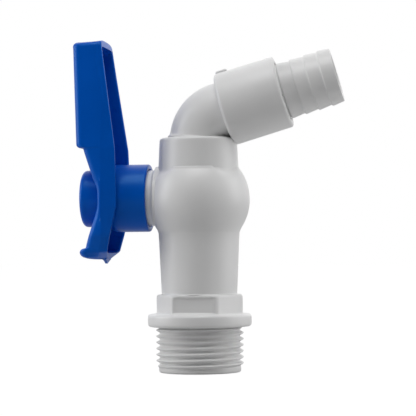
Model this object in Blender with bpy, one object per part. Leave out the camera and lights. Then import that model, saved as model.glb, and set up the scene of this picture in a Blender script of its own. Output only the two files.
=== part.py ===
"""A plastic quarter-turn ball tap with a lever, an elbow spout and a hose nipple.

Metres, +Z up. The origin is on the inlet's axis, in the plane of the threaded end. The stem
lies along X, with the lever on its -X end. The spout bends from +Z towards +X.
"""

import math

import bmesh
import bpy
from mathutils import Matrix, Vector

# Clearances
GAP = 0.0003
OVERRUN = 0.002

# Inlet
THREAD_RADIUS = 0.01322
THREAD_ROOT_RADIUS = 0.01206
THREAD_LENGTH = 0.0137
THREAD_LEAD = 0.0024
THREAD_END_CHAMFER = 0.0006
INLET_BORE_RADIUS = 0.0085
INLET_PORT_RADIUS = 0.006
THROAT_LENGTH = 0.0035
PORT_LENGTH = 0.0078

# Flange and spanner hexagon
FLANGE_RADIUS = 0.0156
FLANGE_THICKNESS = 0.0038
FLANGE_CHAMFER = 0.0008
HEX_WIDTH = 0.0234
HEX_CORNER_RADIUS = 0.01305
HEX_HEIGHT = 0.0059
HEX_CHAMFER = 0.0009

# Barrel, ball chamber and the neck that the spout's collar fits over
BARREL_FOOT_RADIUS = 0.01135
STEM_HEIGHT = 0.0525
CHAMBER_RADIUS = 0.0154
CHAMBER_DROP = 0.0006
BARREL_STEP = 0.0031
LEDGE_RISE_SHARE = 0.5974
NECK_RADIUS = 0.0105
NECK_LENGTH = 0.0069
POCKET_RADIUS = 0.0093

# Corner ribs, on the chamber's shoulder and up the collar
RIB_TURN = math.radians(51)
RIB_FOOT_RADIUS = 0.0138
RIB_HEAD_RADIUS = 0.0124
RIB_HALF_WIDTH = 0.0042
RIB_WALL_TURN = math.radians(59)
RIB_ROOT_DROP = 0.0034
RIB_HEAD_DROP = 0.0012

# Ball and seats
BALL_RADIUS = 0.0088
BALL_BORE_RADIUS = 0.0054
BALL_SLOT_WIDTH = 0.003
BALL_SLOT_DEPTH = 0.0025
SEAT_BORE_RADIUS = 0.0058
SEAT_FACE_RADIUS = 0.008
SEAT_BACK = 0.0079
SEAT_RING_RADIUS = 0.0076
SEAT_RING_TUBE = 0.0006
CARRIER_BORE_RADIUS = 0.006
CARRIER_THICKNESS = 0.003
CARRIER_SLOT_WIDTH = 0.0022
CARRIER_SLOT_DEPTH = 0.001

# Stem and its boss
BOSS_LEDGE_STEP = 0.0002
BOSS_FILLET = 0.0009
BOSS_REACH = 0.0225
STEM_RADIUS = 0.0047
STEM_BALL_GAP = 0.0005
STEM_FLANGE_RADIUS = 0.0062
STEM_FLANGE_THICKNESS = 0.0014
TANG_WIDTH = 0.0076
TANG_THICKNESS = 0.0024
TANG_DEPTH = 0.0022
THRUST_WASHER_THICKNESS = 0.0007
STEM_RING_TUBE = 0.0007
STEM_RING_INSET = 0.0022
STEM_RING_PITCH = 0.0034
DRIVE_WIDTH = 0.006
DRIVE_LENGTH = 0.0063

# Stop between the boss and the handle's hub
STOP_RIM = 0.0002
STOP_WIDTH = 0.002
STOP_HEIGHT = 0.0014
STOP_SPAN = math.radians(24)
STOP_START = math.radians(-12)
STOP_SLACK = math.radians(3)
QUARTER_TURN = math.radians(90)

# Spout: collar, bend and socket
COLLAR_FOOT_RADIUS = 0.0121
COLLAR_HEAD_RADIUS = 0.01165
COLLAR_HEIGHT = 0.009
COLLAR_CHAMFER = 0.0007
COLLAR_GASKET_THICKNESS = 0.0008
SPOUT_RADIUS = 0.0086
SPOUT_BORE_RADIUS = 0.0063
SPOUT_BEND_DROP = 0.0008
SPOUT_BEND_RADIUS = 0.0091
SPOUT_RISE_ANGLE = math.radians(16.2)
SOCKET_GAP = 0.0015
SOCKET_LENGTH = 0.0187
SOCKET_REAR_RADIUS = 0.0111
SOCKET_MOUTH_RADIUS = 0.01095
SOCKET_EDGE = 0.0008
SOCKET_DEPTH = 0.012
NUB_LENGTH = 0.0036
NUB_WIDTH = 0.0026
NUB_HEIGHT = 0.0005
NUB_INSET = 0.0008
NUB_ROOT = 0.001

# Hose nipple
NIPPLE_SPIGOT_RADIUS = 0.0086
NIPPLE_BORE_RADIUS = 0.0062
NIPPLE_BARBS = 4
BARB_PITCH = 0.00418
BARB_CREST_RADIUS = 0.00855
BARB_ROOT_RADIUS = 0.00815
BARB_SHOULDER = 0.0003
NIPPLE_NOSE_CHAMFER = 0.0003
GASKET_THICKNESS = 0.001
GASKET_BORE_RADIUS = 0.0066

# Lever: heights are above the stem's axis, fronts and rears are distances from the flow axis
LEVER_TIP_HEIGHT = 0.0469
LEVER_TIP_EDGE = 0.0014
LEVER_TIP_FRONT = 0.0368
LEVER_TIP_REAR = 0.028
LEVER_TIP_HALF_WIDTH = 0.0096
GRIP_FOOT_HEIGHT = 0.0149
GRIP_FOOT_FRONT = 0.03545
GRIP_FOOT_REAR = 0.0235
GRIP_FOOT_HALF_WIDTH = 0.0123
LIP_RADIUS = 0.0013
LIP_DRAFT = 0.0002
SLOPE_HEAD_FRONT = 0.03335
SLOPE_FOOT_HEIGHT = 0.0053
SLOPE_FOOT_FRONT = 0.0302
VALLEY_HALF_HEIGHT = 0.0026
VALLEY_FRONT = 0.0288
VALLEY_REAR = 0.0231
VALLEY_HALF_WIDTH = 0.0128
TAIL_SLOPE_HEIGHT = -0.0149
TAIL_SLOPE_FRONT = 0.03295
TAIL_SHOULDER_HEIGHT = -0.0112
TAIL_SHOULDER_HALF_WIDTH = 0.0127
BEAD_RADIUS = 0.0014
BEAD_FRONT = 0.03345
BEAD_HEIGHT = -0.0165
TAIL_CUT_HEIGHT = -0.0161
TAIL_CUT_REAR = 0.0262
TAIL_CUT_HALF_WIDTH = 0.0113
TAIL_HEIGHT = -0.0184
TAIL_FRONT = 0.0306
TAIL_REAR = 0.0278
TAIL_HALF_WIDTH = 0.0092
LEVER_EDGE_RADIUS = 0.0025
LEVER_WALL = 0.0017
LEVER_END_WALL = 0.002
POINT_HALF_WIDTH = 0.006
POINT_THICKNESS = 0.0013
POINT_DROP = 0.0011

# Hub of the lever
SKIRT_CHAMBER_GAP = 0.0019
SKIRT_WALL = 0.0015
SKIRT_GAP = 0.0003
HUB_COLUMN_STEP = 0.0002
CAP_SEAT_DEPTH = 0.0003
SCREW_WEB = 0.0015
SCREW_RECESS_RADIUS = 0.0043
SCREW_HOLE_RADIUS = 0.0016
FRONT_BOSS_RADIUS = 0.0065
FRONT_BOSS_RIM = 0.0003

# Screw, washer and cap
SCREW_RADIUS = 0.0013
SCREW_LENGTH = 0.0082
SCREW_HEAD_RADIUS = 0.003
SCREW_HEAD_HEIGHT = 0.0016
SCREW_HEAD_DOME = 0.0006
SCREW_WASHER_RADIUS = 0.0039
SCREW_WASHER_THICKNESS = 0.0008
CAP_RADIUS = 0.0086
CAP_EDGE = 0.0012
CAP_FRONT_WALL = 0.001

# Facets round each piece, and along its curves
BODY_SIDES = 48
SPOUT_SIDES = 40
SEAT_SIDES = 36
CAP_SIDES = 40
STEM_SIDES = 28
RING_SIDES = 28
SCREW_SIDES = 16
TUBE_SIDES = 6
ARC_STEPS = 4
CHAMBER_STEPS = 7
BEND_STEPS = 8
FILLET_STEPS = 2
LEVER_CORNER_STEPS = 3
TIP_EDGE_STEPS = 3
BEAD_STEPS = 5

# Places that follow from the sizes above
FLANGE_TOP = THREAD_LENGTH + FLANGE_THICKNESS
HEX_TOP = FLANGE_TOP + HEX_HEIGHT
SHELF = SEAT_BACK + GAP
INLET_THROAT_LENGTH = STEM_HEIGHT - SHELF - PORT_LENGTH
INLET_BORE_LENGTH = INLET_THROAT_LENGTH - THROAT_LENGTH
CHAMBER_HEIGHT = STEM_HEIGHT - CHAMBER_DROP
BARREL_HEAD_RADIUS = CHAMBER_RADIUS - BARREL_STEP
LEDGE_HEIGHT = CHAMBER_HEIGHT + CHAMBER_RADIUS * LEDGE_RISE_SHARE
NECK_TOP = LEDGE_HEIGHT + NECK_LENGTH
BOSS_RADIUS = LEDGE_HEIGHT - STEM_HEIGHT - BOSS_LEDGE_STEP
STOP_OUTER_RADIUS = BOSS_RADIUS - STOP_RIM
STOP_INNER_RADIUS = STOP_OUTER_RADIUS - STOP_WIDTH
SKIRT_BORE_RADIUS = BOSS_RADIUS + SKIRT_GAP
SKIRT_RADIUS = SKIRT_BORE_RADIUS + SKIRT_WALL
SKIRT_END = math.sqrt(CHAMBER_RADIUS**2 - BOSS_RADIUS**2) + SKIRT_CHAMBER_GAP
HUB_COLUMN_RADIUS = SKIRT_RADIUS + HUB_COLUMN_STEP
SEAT_RING_SEAT = SHELF + SEAT_RING_TUBE
SEAT_RING_FLOOR = SEAT_RING_SEAT + SEAT_RING_TUBE + GAP
CARRIER_TOP = SHELF + CARRIER_THICKNESS
COLLAR_FOOT = LEDGE_HEIGHT + GAP
COLLAR_TOP = COLLAR_FOOT + COLLAR_HEIGHT
SPOUT_BEND_HEIGHT = COLLAR_TOP - SPOUT_BEND_DROP
CUP_RADIUS = NECK_RADIUS + GAP
COLLAR_GASKET_FOOT = NECK_TOP + GAP
CUP_ROOF = COLLAR_GASKET_FOOT + COLLAR_GASKET_THICKNESS + GAP
POCKET_FIT_RADIUS = POCKET_RADIUS - GAP
BOSS_BORE_RADIUS = STEM_RADIUS + GAP
STEM_FLANGE_FOOT = BALL_RADIUS + STEM_BALL_GAP
STEM_FLANGE_HEAD = STEM_FLANGE_FOOT + STEM_FLANGE_THICKNESS
THRUST_WASHER_FOOT = STEM_FLANGE_HEAD + GAP
THRUST_WASHER_HEAD = THRUST_WASHER_FOOT + THRUST_WASHER_THICKNESS
SPOT_FACE = THRUST_WASHER_HEAD + GAP
STEM_RING_RADIUS = STEM_RADIUS - STEM_RING_TUBE
STEM_RING_SEATS = (SPOT_FACE + STEM_RING_INSET, SPOT_FACE + STEM_RING_INSET + STEM_RING_PITCH)
HUB_FLOOR = BOSS_REACH + GAP
DRIVE_END = BOSS_REACH + DRIVE_LENGTH
SCREW_SEAT = DRIVE_END + GAP + SCREW_WEB
WASHER_FOOT = SCREW_SEAT + GAP
WASHER_HEAD = WASHER_FOOT + SCREW_WASHER_THICKNESS
SCREW_HEAD_FOOT = WASHER_HEAD + GAP
SCREW_HEAD_TOP = SCREW_HEAD_FOOT + SCREW_HEAD_HEIGHT
SCREW_TIP = SCREW_HEAD_FOOT - SCREW_LENGTH
FRONT_BOSS_END = SCREW_HEAD_TOP + FRONT_BOSS_RIM
CAP_SEAT = VALLEY_FRONT - CAP_SEAT_DEPTH
CAP_FLOOR = FRONT_BOSS_END + GAP
CAP_FRONT = CAP_FLOOR + CAP_FRONT_WALL
BEND_ANGLE = QUARTER_TURN - SPOUT_RISE_ANGLE
BEND_LENGTH = SPOUT_BEND_RADIUS * BEND_ANGLE
SOCKET_FOOT = BEND_LENGTH + SOCKET_GAP
SOCKET_MOUTH = SOCKET_FOOT + SOCKET_LENGTH
SOCKET_FLOOR = SOCKET_MOUTH - SOCKET_DEPTH
NIPPLE_FOOT = GASKET_THICKNESS + GAP + GAP - SOCKET_DEPTH


def arc(along, radius, size, start, end, steps):
    """Points (along, radius) on a circle of the given size, from one angle in degrees to another."""
    points = []
    for step in range(steps + 1):
        turn = math.radians(start + (end - start) * step / steps)
        points.append((along + size * math.cos(turn), radius + size * math.sin(turn)))
    return points


def circle(radius, sides, frame):
    """One ring of points round a frame's own Z, or its middle alone where the radius is zero."""
    if radius == 0:
        return [frame @ Vector((0, 0, 0))]
    ring = []
    for side in range(sides):
        turn = math.tau * side / sides
        ring.append(frame @ Vector((radius * math.cos(turn), radius * math.sin(turn), 0)))
    return ring


def link(name, mesh, material, parent=None, frame=None):
    obj = bpy.data.objects.new(name, mesh)
    bpy.context.scene.collection.objects.link(obj)
    obj.data.materials.append(material)
    obj.parent = parent
    if frame:
        obj.location = frame.to_translation()
        obj.rotation_euler = frame.to_euler()
    return obj


def finished_mesh(name, bm):
    bmesh.ops.recalc_face_normals(bm, faces=bm.faces)
    mesh = bpy.data.meshes.new(name)
    bm.to_mesh(mesh)
    bm.free()
    mesh.shade_smooth()
    mesh.set_sharp_from_angle(angle=math.radians(32))
    return mesh


def bridged(name, rings, material, ends=False, **place):
    """Rings of points joined one to the next, as a closed loop of rings or with a flat face on each end."""
    bm = bmesh.new()
    made = [[bm.verts.new(point) for point in ring] for ring in rings]
    followers = made[1:] if ends else made[1:] + made[:1]
    for ring, following in zip(made, followers):
        for side in range(max(len(ring), len(following))):
            corners = [ring[side - 1 if len(ring) > 1 else 0], ring[side % len(ring)]]
            corners += [following[side % len(following)], following[side - 1 if len(following) > 1 else 0]]
            corners = list(dict.fromkeys(corners))
            if len(corners) > 2:
                bm.faces.new(corners)
    if ends:
        bm.faces.new(made[0])
        bm.faces.new(made[-1])
    return link(name, finished_mesh(name, bm), material, **place)


def turned(name, profile, material, sides, **place):
    """A closed outline of (along, radius) points turned about the piece's own Z."""
    rings = []
    for along, radius in profile:
        rings.append(circle(radius, sides, Matrix.Translation((0, 0, along))))
    return bridged(name, rings, material, **place)


def cylinder(name, radius, start, end, material, sides, **place):
    profile = [(start, 0), (start, radius), (end, radius), (end, 0)]
    return turned(name, profile, material, sides, **place)


def flat_ring(name, inner, outer, start, end, material, sides, **place):
    profile = [(start, inner), (start, outer), (end, outer), (end, inner)]
    return turned(name, profile, material, sides, **place)


def round_ring(name, radius, tube, along, material, **place):
    """A rubber ring of round section."""
    profile = []
    for side in range(TUBE_SIDES):
        turn = math.tau * side / TUBE_SIDES
        profile.append((along + tube * math.cos(turn), radius + tube * math.sin(turn)))
    return turned(name, profile, material, RING_SIDES, **place)


def box(name, low, high, material, **place):
    low = Vector(low)
    high = Vector(high)
    bm = bmesh.new()
    spread = Matrix.Translation((low + high) / 2) @ Matrix.Diagonal((high - low).to_4d())
    bmesh.ops.create_cube(bm, size=1, matrix=spread)
    return link(name, finished_mesh(name, bm), material, **place)


def sector(name, inner, outer, start, end, first_turn, last_turn, material, **place):
    """Part of a flat ring, between two turns about the piece's own Z."""
    rings = []
    steps = max(2, round((last_turn - first_turn) / math.radians(12)))
    for step in range(steps + 1):
        turn = first_turn + (last_turn - first_turn) * step / steps
        way = Vector((math.cos(turn), math.sin(turn), 0))
        up = Vector((0, 0, 1))
        corners = [(inner, start), (outer, start), (outer, end), (inner, end)]
        rings.append([way * radius + up * along for radius, along in corners])
    return bridged(name, rings, material, ends=True, **place)


def combine(piece, operation, tool):
    tool.hide_render = True
    tool.display_type = "WIRE"
    modifier = piece.modifiers.new(tool.name, "BOOLEAN")
    modifier.operation = operation
    modifier.object = tool


def surface(name, colour, roughness, metallic=0.0):
    material = bpy.data.materials.new(name)
    material.use_nodes = True
    shader = material.node_tree.nodes["Principled BSDF"]
    shader.inputs["Base Color"].default_value = (*colour, 1)
    shader.inputs["Roughness"].default_value = roughness
    shader.inputs["Metallic"].default_value = metallic
    return material


def body_outline():
    """The moulding's turned outside, from the threaded end to the top of the neck."""
    outline = [
        (0, 0),
        (0, THREAD_ROOT_RADIUS - THREAD_END_CHAMFER),
        (THREAD_END_CHAMFER, THREAD_ROOT_RADIUS),
        (THREAD_LEAD, THREAD_ROOT_RADIUS),
        (THREAD_LEAD + THREAD_RADIUS - THREAD_ROOT_RADIUS, THREAD_RADIUS),
        (THREAD_LENGTH, THREAD_RADIUS),
        (THREAD_LENGTH, FLANGE_RADIUS - FLANGE_CHAMFER),
        (THREAD_LENGTH + FLANGE_CHAMFER, FLANGE_RADIUS),
        (FLANGE_TOP - FLANGE_CHAMFER, FLANGE_RADIUS),
        (FLANGE_TOP, FLANGE_RADIUS - FLANGE_CHAMFER),
        (FLANGE_TOP, BARREL_FOOT_RADIUS),
        (HEX_TOP, BARREL_FOOT_RADIUS),
    ]
    lower = 180 - math.degrees(math.asin(BARREL_HEAD_RADIUS / CHAMBER_RADIUS))
    upper = math.degrees(math.acos(LEDGE_RISE_SHARE))
    outline += arc(CHAMBER_HEIGHT, 0, CHAMBER_RADIUS, lower, upper, CHAMBER_STEPS)
    outline += [(LEDGE_HEIGHT, NECK_RADIUS), (NECK_TOP, NECK_RADIUS), (NECK_TOP, 0)]
    return outline


def boss_outline():
    """The stem's boss, filleted to the top of the chamber, whose middle lies a little below the stem."""
    out = BOSS_RADIUS + BOSS_FILLET
    rise = out + CHAMBER_DROP
    along = math.sqrt((CHAMBER_RADIUS + BOSS_FILLET)**2 - rise**2)
    touch = 180 + math.degrees(math.atan2(rise, along))
    fillet = arc(along, out, BOSS_FILLET, touch, 270, FILLET_STEPS)
    outline = [(POCKET_RADIUS, 0), (POCKET_RADIUS, BOSS_RADIUS)]
    return outline + fillet + [(BOSS_REACH, BOSS_RADIUS), (BOSS_REACH, 0)]


def waterway_outline():
    """The inside that the flow runs through, with the shelf and ring groove under the inlet seat."""
    shelf = STEM_HEIGHT - SHELF
    groove = STEM_HEIGHT - SEAT_RING_FLOOR
    groove_half_width = SEAT_RING_TUBE + GAP
    return [
        (-OVERRUN, 0),
        (-OVERRUN, INLET_BORE_RADIUS),
        (INLET_BORE_LENGTH, INLET_BORE_RADIUS),
        (INLET_THROAT_LENGTH, INLET_PORT_RADIUS),
        (shelf, INLET_PORT_RADIUS),
        (shelf, SEAT_RING_RADIUS - groove_half_width),
        (groove, SEAT_RING_RADIUS - groove_half_width),
        (groove, SEAT_RING_RADIUS + groove_half_width),
        (shelf, SEAT_RING_RADIUS + groove_half_width),
        (shelf, POCKET_RADIUS),
        (NECK_TOP + OVERRUN, POCKET_RADIUS),
        (NECK_TOP + OVERRUN, 0),
    ]


def spanner_hexagon(plastic):
    """A hexagonal prism with two flats facing -Y and +Y, its corners turned down and chamfered."""
    rings = []
    for height in (FLANGE_TOP - FLANGE_CHAMFER, HEX_TOP):
        rings.append(circle(HEX_WIDTH / math.sqrt(3), 6, Matrix.Translation((0, 0, height))))
    prism = bridged("spanner_hexagon", rings, plastic, ends=True)
    profile = [
        (FLANGE_TOP - OVERRUN, 0),
        (FLANGE_TOP - OVERRUN, HEX_CORNER_RADIUS),
        (HEX_TOP - HEX_CHAMFER, HEX_CORNER_RADIUS),
        (HEX_TOP, HEX_CORNER_RADIUS - HEX_CHAMFER),
        (HEX_TOP, 0),
    ]
    combine(prism, "INTERSECT", turned("hexagon_chamfer", profile, plastic, BODY_SIDES))
    return prism


def corner_ribs(piece, foot, head, foot_radius, head_radius, plastic):
    """Four upright corners round the flow axis, each with two walls that run off a round side."""
    for number, (forward, across) in enumerate(((1, 1), (1, -1), (-1, 1), (-1, -1))):
        way = Matrix.Rotation(math.atan2(across * math.cos(RIB_TURN), forward * math.sin(RIB_TURN)), 4, "Z")
        rings = []
        for height, radius in ((foot, foot_radius), (head, head_radius)):
            root = radius - RIB_HALF_WIDTH / math.tan(RIB_WALL_TURN)
            corners = [(root, -RIB_HALF_WIDTH), (radius, 0), (root, RIB_HALF_WIDTH), (NECK_RADIUS + GAP + GAP, 0)]
            rings.append([way @ Vector((out, aside, height)) for out, aside in corners])
        combine(piece, "UNION", bridged(f"{piece.name}_rib_{number}", rings, plastic, ends=True))


def make_body(plastic, stem_frame):
    body = turned("valve_body", body_outline(), plastic, BODY_SIDES)
    combine(body, "UNION", spanner_hexagon(plastic))
    combine(body, "UNION", turned("stem_boss", boss_outline(), plastic, BODY_SIDES, frame=stem_frame))
    stop_end = BOSS_REACH + STOP_HEIGHT
    stop = sector(
        "boss_stop", STOP_INNER_RADIUS, STOP_OUTER_RADIUS, BOSS_REACH - OVERRUN, stop_end,
        STOP_START, STOP_START + STOP_SPAN, plastic, frame=stem_frame,
    )
    combine(body, "UNION", stop)
    rib_foot = LEDGE_HEIGHT - RIB_ROOT_DROP
    corner_ribs(body, rib_foot, LEDGE_HEIGHT, RIB_FOOT_RADIUS, RIB_FOOT_RADIUS, plastic)
    combine(body, "DIFFERENCE", turned("waterway", waterway_outline(), plastic, BODY_SIDES))
    spot_face_radius = STEM_FLANGE_RADIUS + GAP
    stem_bore = [
        (0, 0),
        (0, spot_face_radius),
        (SPOT_FACE, spot_face_radius),
        (SPOT_FACE, BOSS_BORE_RADIUS),
        (BOSS_REACH + OVERRUN, BOSS_BORE_RADIUS),
        (BOSS_REACH + OVERRUN, 0),
    ]
    combine(body, "DIFFERENCE", turned("stem_bore", stem_bore, plastic, STEM_SIDES, frame=stem_frame))
    return body


def make_seat(name, side, ptfe, flow_frame):
    """A seat ring, hollowed to the ball. Its side is 1 above the ball and -1 below."""
    face = BALL_RADIUS + GAP
    inner = math.degrees(math.asin(SEAT_BORE_RADIUS / face))
    outer = math.degrees(math.asin(SEAT_FACE_RADIUS / face))
    profile = arc(0, 0, face, inner, outer, ARC_STEPS)
    profile.append((profile[-1][0], POCKET_FIT_RADIUS))
    profile += [(SEAT_BACK, POCKET_FIT_RADIUS), (SEAT_BACK, SEAT_BORE_RADIUS)]
    profile = [(side * along, radius) for along, radius in profile]
    return turned(name, profile, ptfe, SEAT_SIDES, frame=flow_frame)


def make_seat_carrier(plastic, flow_frame):
    """The screwed ring over the outlet seat, grooved for its backing ring and slotted for a key."""
    groove_half_width = SEAT_RING_TUBE + GAP
    profile = [
        (SHELF, CARRIER_BORE_RADIUS),
        (SHELF, SEAT_RING_RADIUS - groove_half_width),
        (SEAT_RING_FLOOR, SEAT_RING_RADIUS - groove_half_width),
        (SEAT_RING_FLOOR, SEAT_RING_RADIUS + groove_half_width),
        (SHELF, SEAT_RING_RADIUS + groove_half_width),
        (SHELF, POCKET_FIT_RADIUS),
        (CARRIER_TOP, POCKET_FIT_RADIUS),
        (CARRIER_TOP, CARRIER_BORE_RADIUS),
    ]
    carrier = turned("seat_carrier", profile, plastic, SEAT_SIDES, frame=flow_frame)
    half = CARRIER_SLOT_WIDTH / 2
    low = (-POCKET_RADIUS, -half, CARRIER_TOP - CARRIER_SLOT_DEPTH)
    high = (POCKET_RADIUS, half, CARRIER_TOP + OVERRUN)
    combine(carrier, "DIFFERENCE", box("carrier_slot", low, high, plastic, frame=flow_frame))
    return carrier


def make_ball(plastic, stem_axis):
    """The ball, its bore along the flow and its stem slot across it."""
    edge = math.degrees(math.asin(BALL_BORE_RADIUS / BALL_RADIUS))
    profile = arc(0, 0, BALL_RADIUS, edge, 180 - edge, CHAMBER_STEPS)
    along_flow = Matrix.Rotation(QUARTER_TURN, 4, "Y")
    ball = turned("ball", profile, plastic, RING_SIDES, parent=stem_axis, frame=along_flow)
    half = BALL_SLOT_WIDTH / 2
    low = (-half, -BALL_RADIUS - OVERRUN, BALL_RADIUS - BALL_SLOT_DEPTH)
    high = (half, BALL_RADIUS + OVERRUN, BALL_RADIUS + OVERRUN)
    combine(ball, "DIFFERENCE", box("ball_slot", low, high, plastic, parent=stem_axis))
    return ball


def make_stem(plastic, stem_axis):
    """The stem: tang, flange, shank with two ring grooves, and a square end bored for the screw."""
    profile = [
        (STEM_FLANGE_FOOT, 0),
        (STEM_FLANGE_FOOT, STEM_FLANGE_RADIUS),
        (STEM_FLANGE_HEAD, STEM_FLANGE_RADIUS),
        (STEM_FLANGE_HEAD, STEM_RADIUS),
    ]
    groove_half_width = STEM_RING_TUBE + GAP
    groove_floor = STEM_RING_RADIUS - STEM_RING_TUBE - GAP
    for seat in STEM_RING_SEATS:
        for along, radius in ((-groove_half_width, STEM_RADIUS), (-groove_half_width, groove_floor)):
            profile.append((seat + along, radius))
        for along, radius in ((groove_half_width, groove_floor), (groove_half_width, STEM_RADIUS)):
            profile.append((seat + along, radius))
    profile += [(BOSS_REACH, STEM_RADIUS), (BOSS_REACH, 0)]
    stem = turned("stem", profile, plastic, STEM_SIDES, parent=stem_axis)
    low = (-TANG_THICKNESS / 2, -TANG_WIDTH / 2, BALL_RADIUS - TANG_DEPTH)
    high = (TANG_THICKNESS / 2, TANG_WIDTH / 2, STEM_FLANGE_FOOT + STEM_FLANGE_THICKNESS / 2)
    combine(stem, "UNION", box("stem_tang", low, high, plastic, parent=stem_axis))
    half = DRIVE_WIDTH / 2
    low = (-half, -half, BOSS_REACH - OVERRUN)
    high = (half, half, DRIVE_END)
    combine(stem, "UNION", box("stem_drive", low, high, plastic, parent=stem_axis))
    bottom = SCREW_TIP - GAP
    hole = cylinder(
        "stem_screw_hole", SCREW_HOLE_RADIUS, bottom, DRIVE_END + OVERRUN, plastic, SCREW_SIDES,
        parent=stem_axis,
    )
    combine(stem, "DIFFERENCE", hole)
    return stem


def spout_frame(distance):
    """The frame on the spout's centre line, at a distance past the start of its bend."""
    turn = min(max(distance / SPOUT_BEND_RADIUS, 0), BEND_ANGLE)
    centre = Matrix.Translation((SPOUT_BEND_RADIUS, 0, SPOUT_BEND_HEIGHT))
    out = Matrix.Translation((-SPOUT_BEND_RADIUS, 0, distance - turn * SPOUT_BEND_RADIUS))
    return centre @ Matrix.Rotation(turn, 4, "Y") @ out


def bend_points(radius):
    """Points (distance, radius) that carry a wall round the bend."""
    return [(BEND_LENGTH * step / BEND_STEPS, radius) for step in range(BEND_STEPS + 1)]


def swept(name, outline, material):
    """A solid along the spout's centre line, from (distance, radius) points that start and end on it."""
    rings = [circle(radius, SPOUT_SIDES, spout_frame(distance)) for distance, radius in outline]
    return bridged(name, rings, material)


def make_spout(plastic):
    """The elbow: a collar over the body's neck, the bend, and a socket bored for the nipple."""
    outline = [(-COLLAR_CHAMFER, 0), (-COLLAR_CHAMFER, SPOUT_RADIUS)]
    outline += bend_points(SPOUT_RADIUS)
    outline += [
        (SOCKET_FOOT, SPOUT_RADIUS),
        (SOCKET_FOOT, SOCKET_REAR_RADIUS - SOCKET_EDGE),
        (SOCKET_FOOT + SOCKET_EDGE, SOCKET_REAR_RADIUS),
        (SOCKET_MOUTH - SOCKET_EDGE, SOCKET_MOUTH_RADIUS),
        (SOCKET_MOUTH, SOCKET_MOUTH_RADIUS - SOCKET_EDGE),
        (SOCKET_MOUTH, 0),
    ]
    spout = swept("spout_elbow", outline, plastic)
    collar = [
        (COLLAR_FOOT, 0),
        (COLLAR_FOOT, COLLAR_FOOT_RADIUS),
        (COLLAR_TOP - COLLAR_CHAMFER, COLLAR_HEAD_RADIUS),
        (COLLAR_TOP, COLLAR_HEAD_RADIUS - COLLAR_CHAMFER),
        (COLLAR_TOP, 0),
    ]
    combine(spout, "UNION", turned("collar", collar, plastic, BODY_SIDES))
    rib_head = COLLAR_TOP - RIB_HEAD_DROP
    corner_ribs(spout, COLLAR_FOOT, rib_head, RIB_FOOT_RADIUS, RIB_HEAD_RADIUS, plastic)
    start = NUB_INSET + SOCKET_EDGE
    low = (-SOCKET_REAR_RADIUS - NUB_HEIGHT, -NUB_WIDTH / 2, start)
    high = (NUB_ROOT - SOCKET_REAR_RADIUS, NUB_WIDTH / 2, start + NUB_LENGTH)
    combine(spout, "UNION", box("socket_nub", low, high, plastic, frame=spout_frame(SOCKET_FOOT)))
    bore = [(-COLLAR_CHAMFER - OVERRUN, 0), (-COLLAR_CHAMFER - OVERRUN, SPOUT_BORE_RADIUS)]
    bore += bend_points(SPOUT_BORE_RADIUS)
    bore += [
        (SOCKET_FLOOR, SPOUT_BORE_RADIUS),
        (SOCKET_FLOOR, NIPPLE_SPIGOT_RADIUS + GAP),
        (SOCKET_MOUTH + OVERRUN, NIPPLE_SPIGOT_RADIUS + GAP),
        (SOCKET_MOUTH + OVERRUN, 0),
    ]
    combine(spout, "DIFFERENCE", swept("spout_bore", bore, plastic))
    cup = cylinder("collar_cup", CUP_RADIUS, COLLAR_FOOT - OVERRUN, CUP_ROOF, plastic, BODY_SIDES)
    combine(spout, "DIFFERENCE", cup)
    return spout


def make_nipple(plastic):
    """The hose tail: a plain spigot in the socket, then barbs whose shoulders face the socket."""
    outline = [(NIPPLE_FOOT, NIPPLE_BORE_RADIUS), (NIPPLE_FOOT, NIPPLE_SPIGOT_RADIUS), (0, NIPPLE_SPIGOT_RADIUS)]
    for barb in range(NIPPLE_BARBS):
        start = barb * BARB_PITCH
        outline.append((start + BARB_SHOULDER, BARB_CREST_RADIUS))
        outline.append((start + BARB_PITCH, BARB_ROOT_RADIUS))
    end = NIPPLE_BARBS * BARB_PITCH
    outline[-1] = (end - NIPPLE_NOSE_CHAMFER, BARB_ROOT_RADIUS)
    outline += [(end, BARB_ROOT_RADIUS - NIPPLE_NOSE_CHAMFER), (end, NIPPLE_BORE_RADIUS)]
    return turned("hose_nipple", outline, plastic, SPOUT_SIDES, frame=spout_frame(SOCKET_MOUTH))


def at_height(table, height):
    """The value that a table of (height, value), listed from the top down, has at this height."""
    for (upper, first), (lower, second) in zip(table, table[1:]):
        if height >= lower:
            return first + (second - first) * min((upper - height) / (upper - lower), 1)
    return table[-1][1]


def lever_section(height, front, rear, half_width, corner):
    """One level cut of the lever: square at the back, with rounded corners at the front."""
    points = [(rear, -half_width)]
    points += arc(front - corner, corner - half_width, corner, -90, 0, LEVER_CORNER_STEPS)
    points += arc(front - corner, half_width - corner, corner, 0, 90, LEVER_CORNER_STEPS)
    points.append((rear, half_width))
    return [Vector((height, across, out)) for out, across in points]


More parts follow.
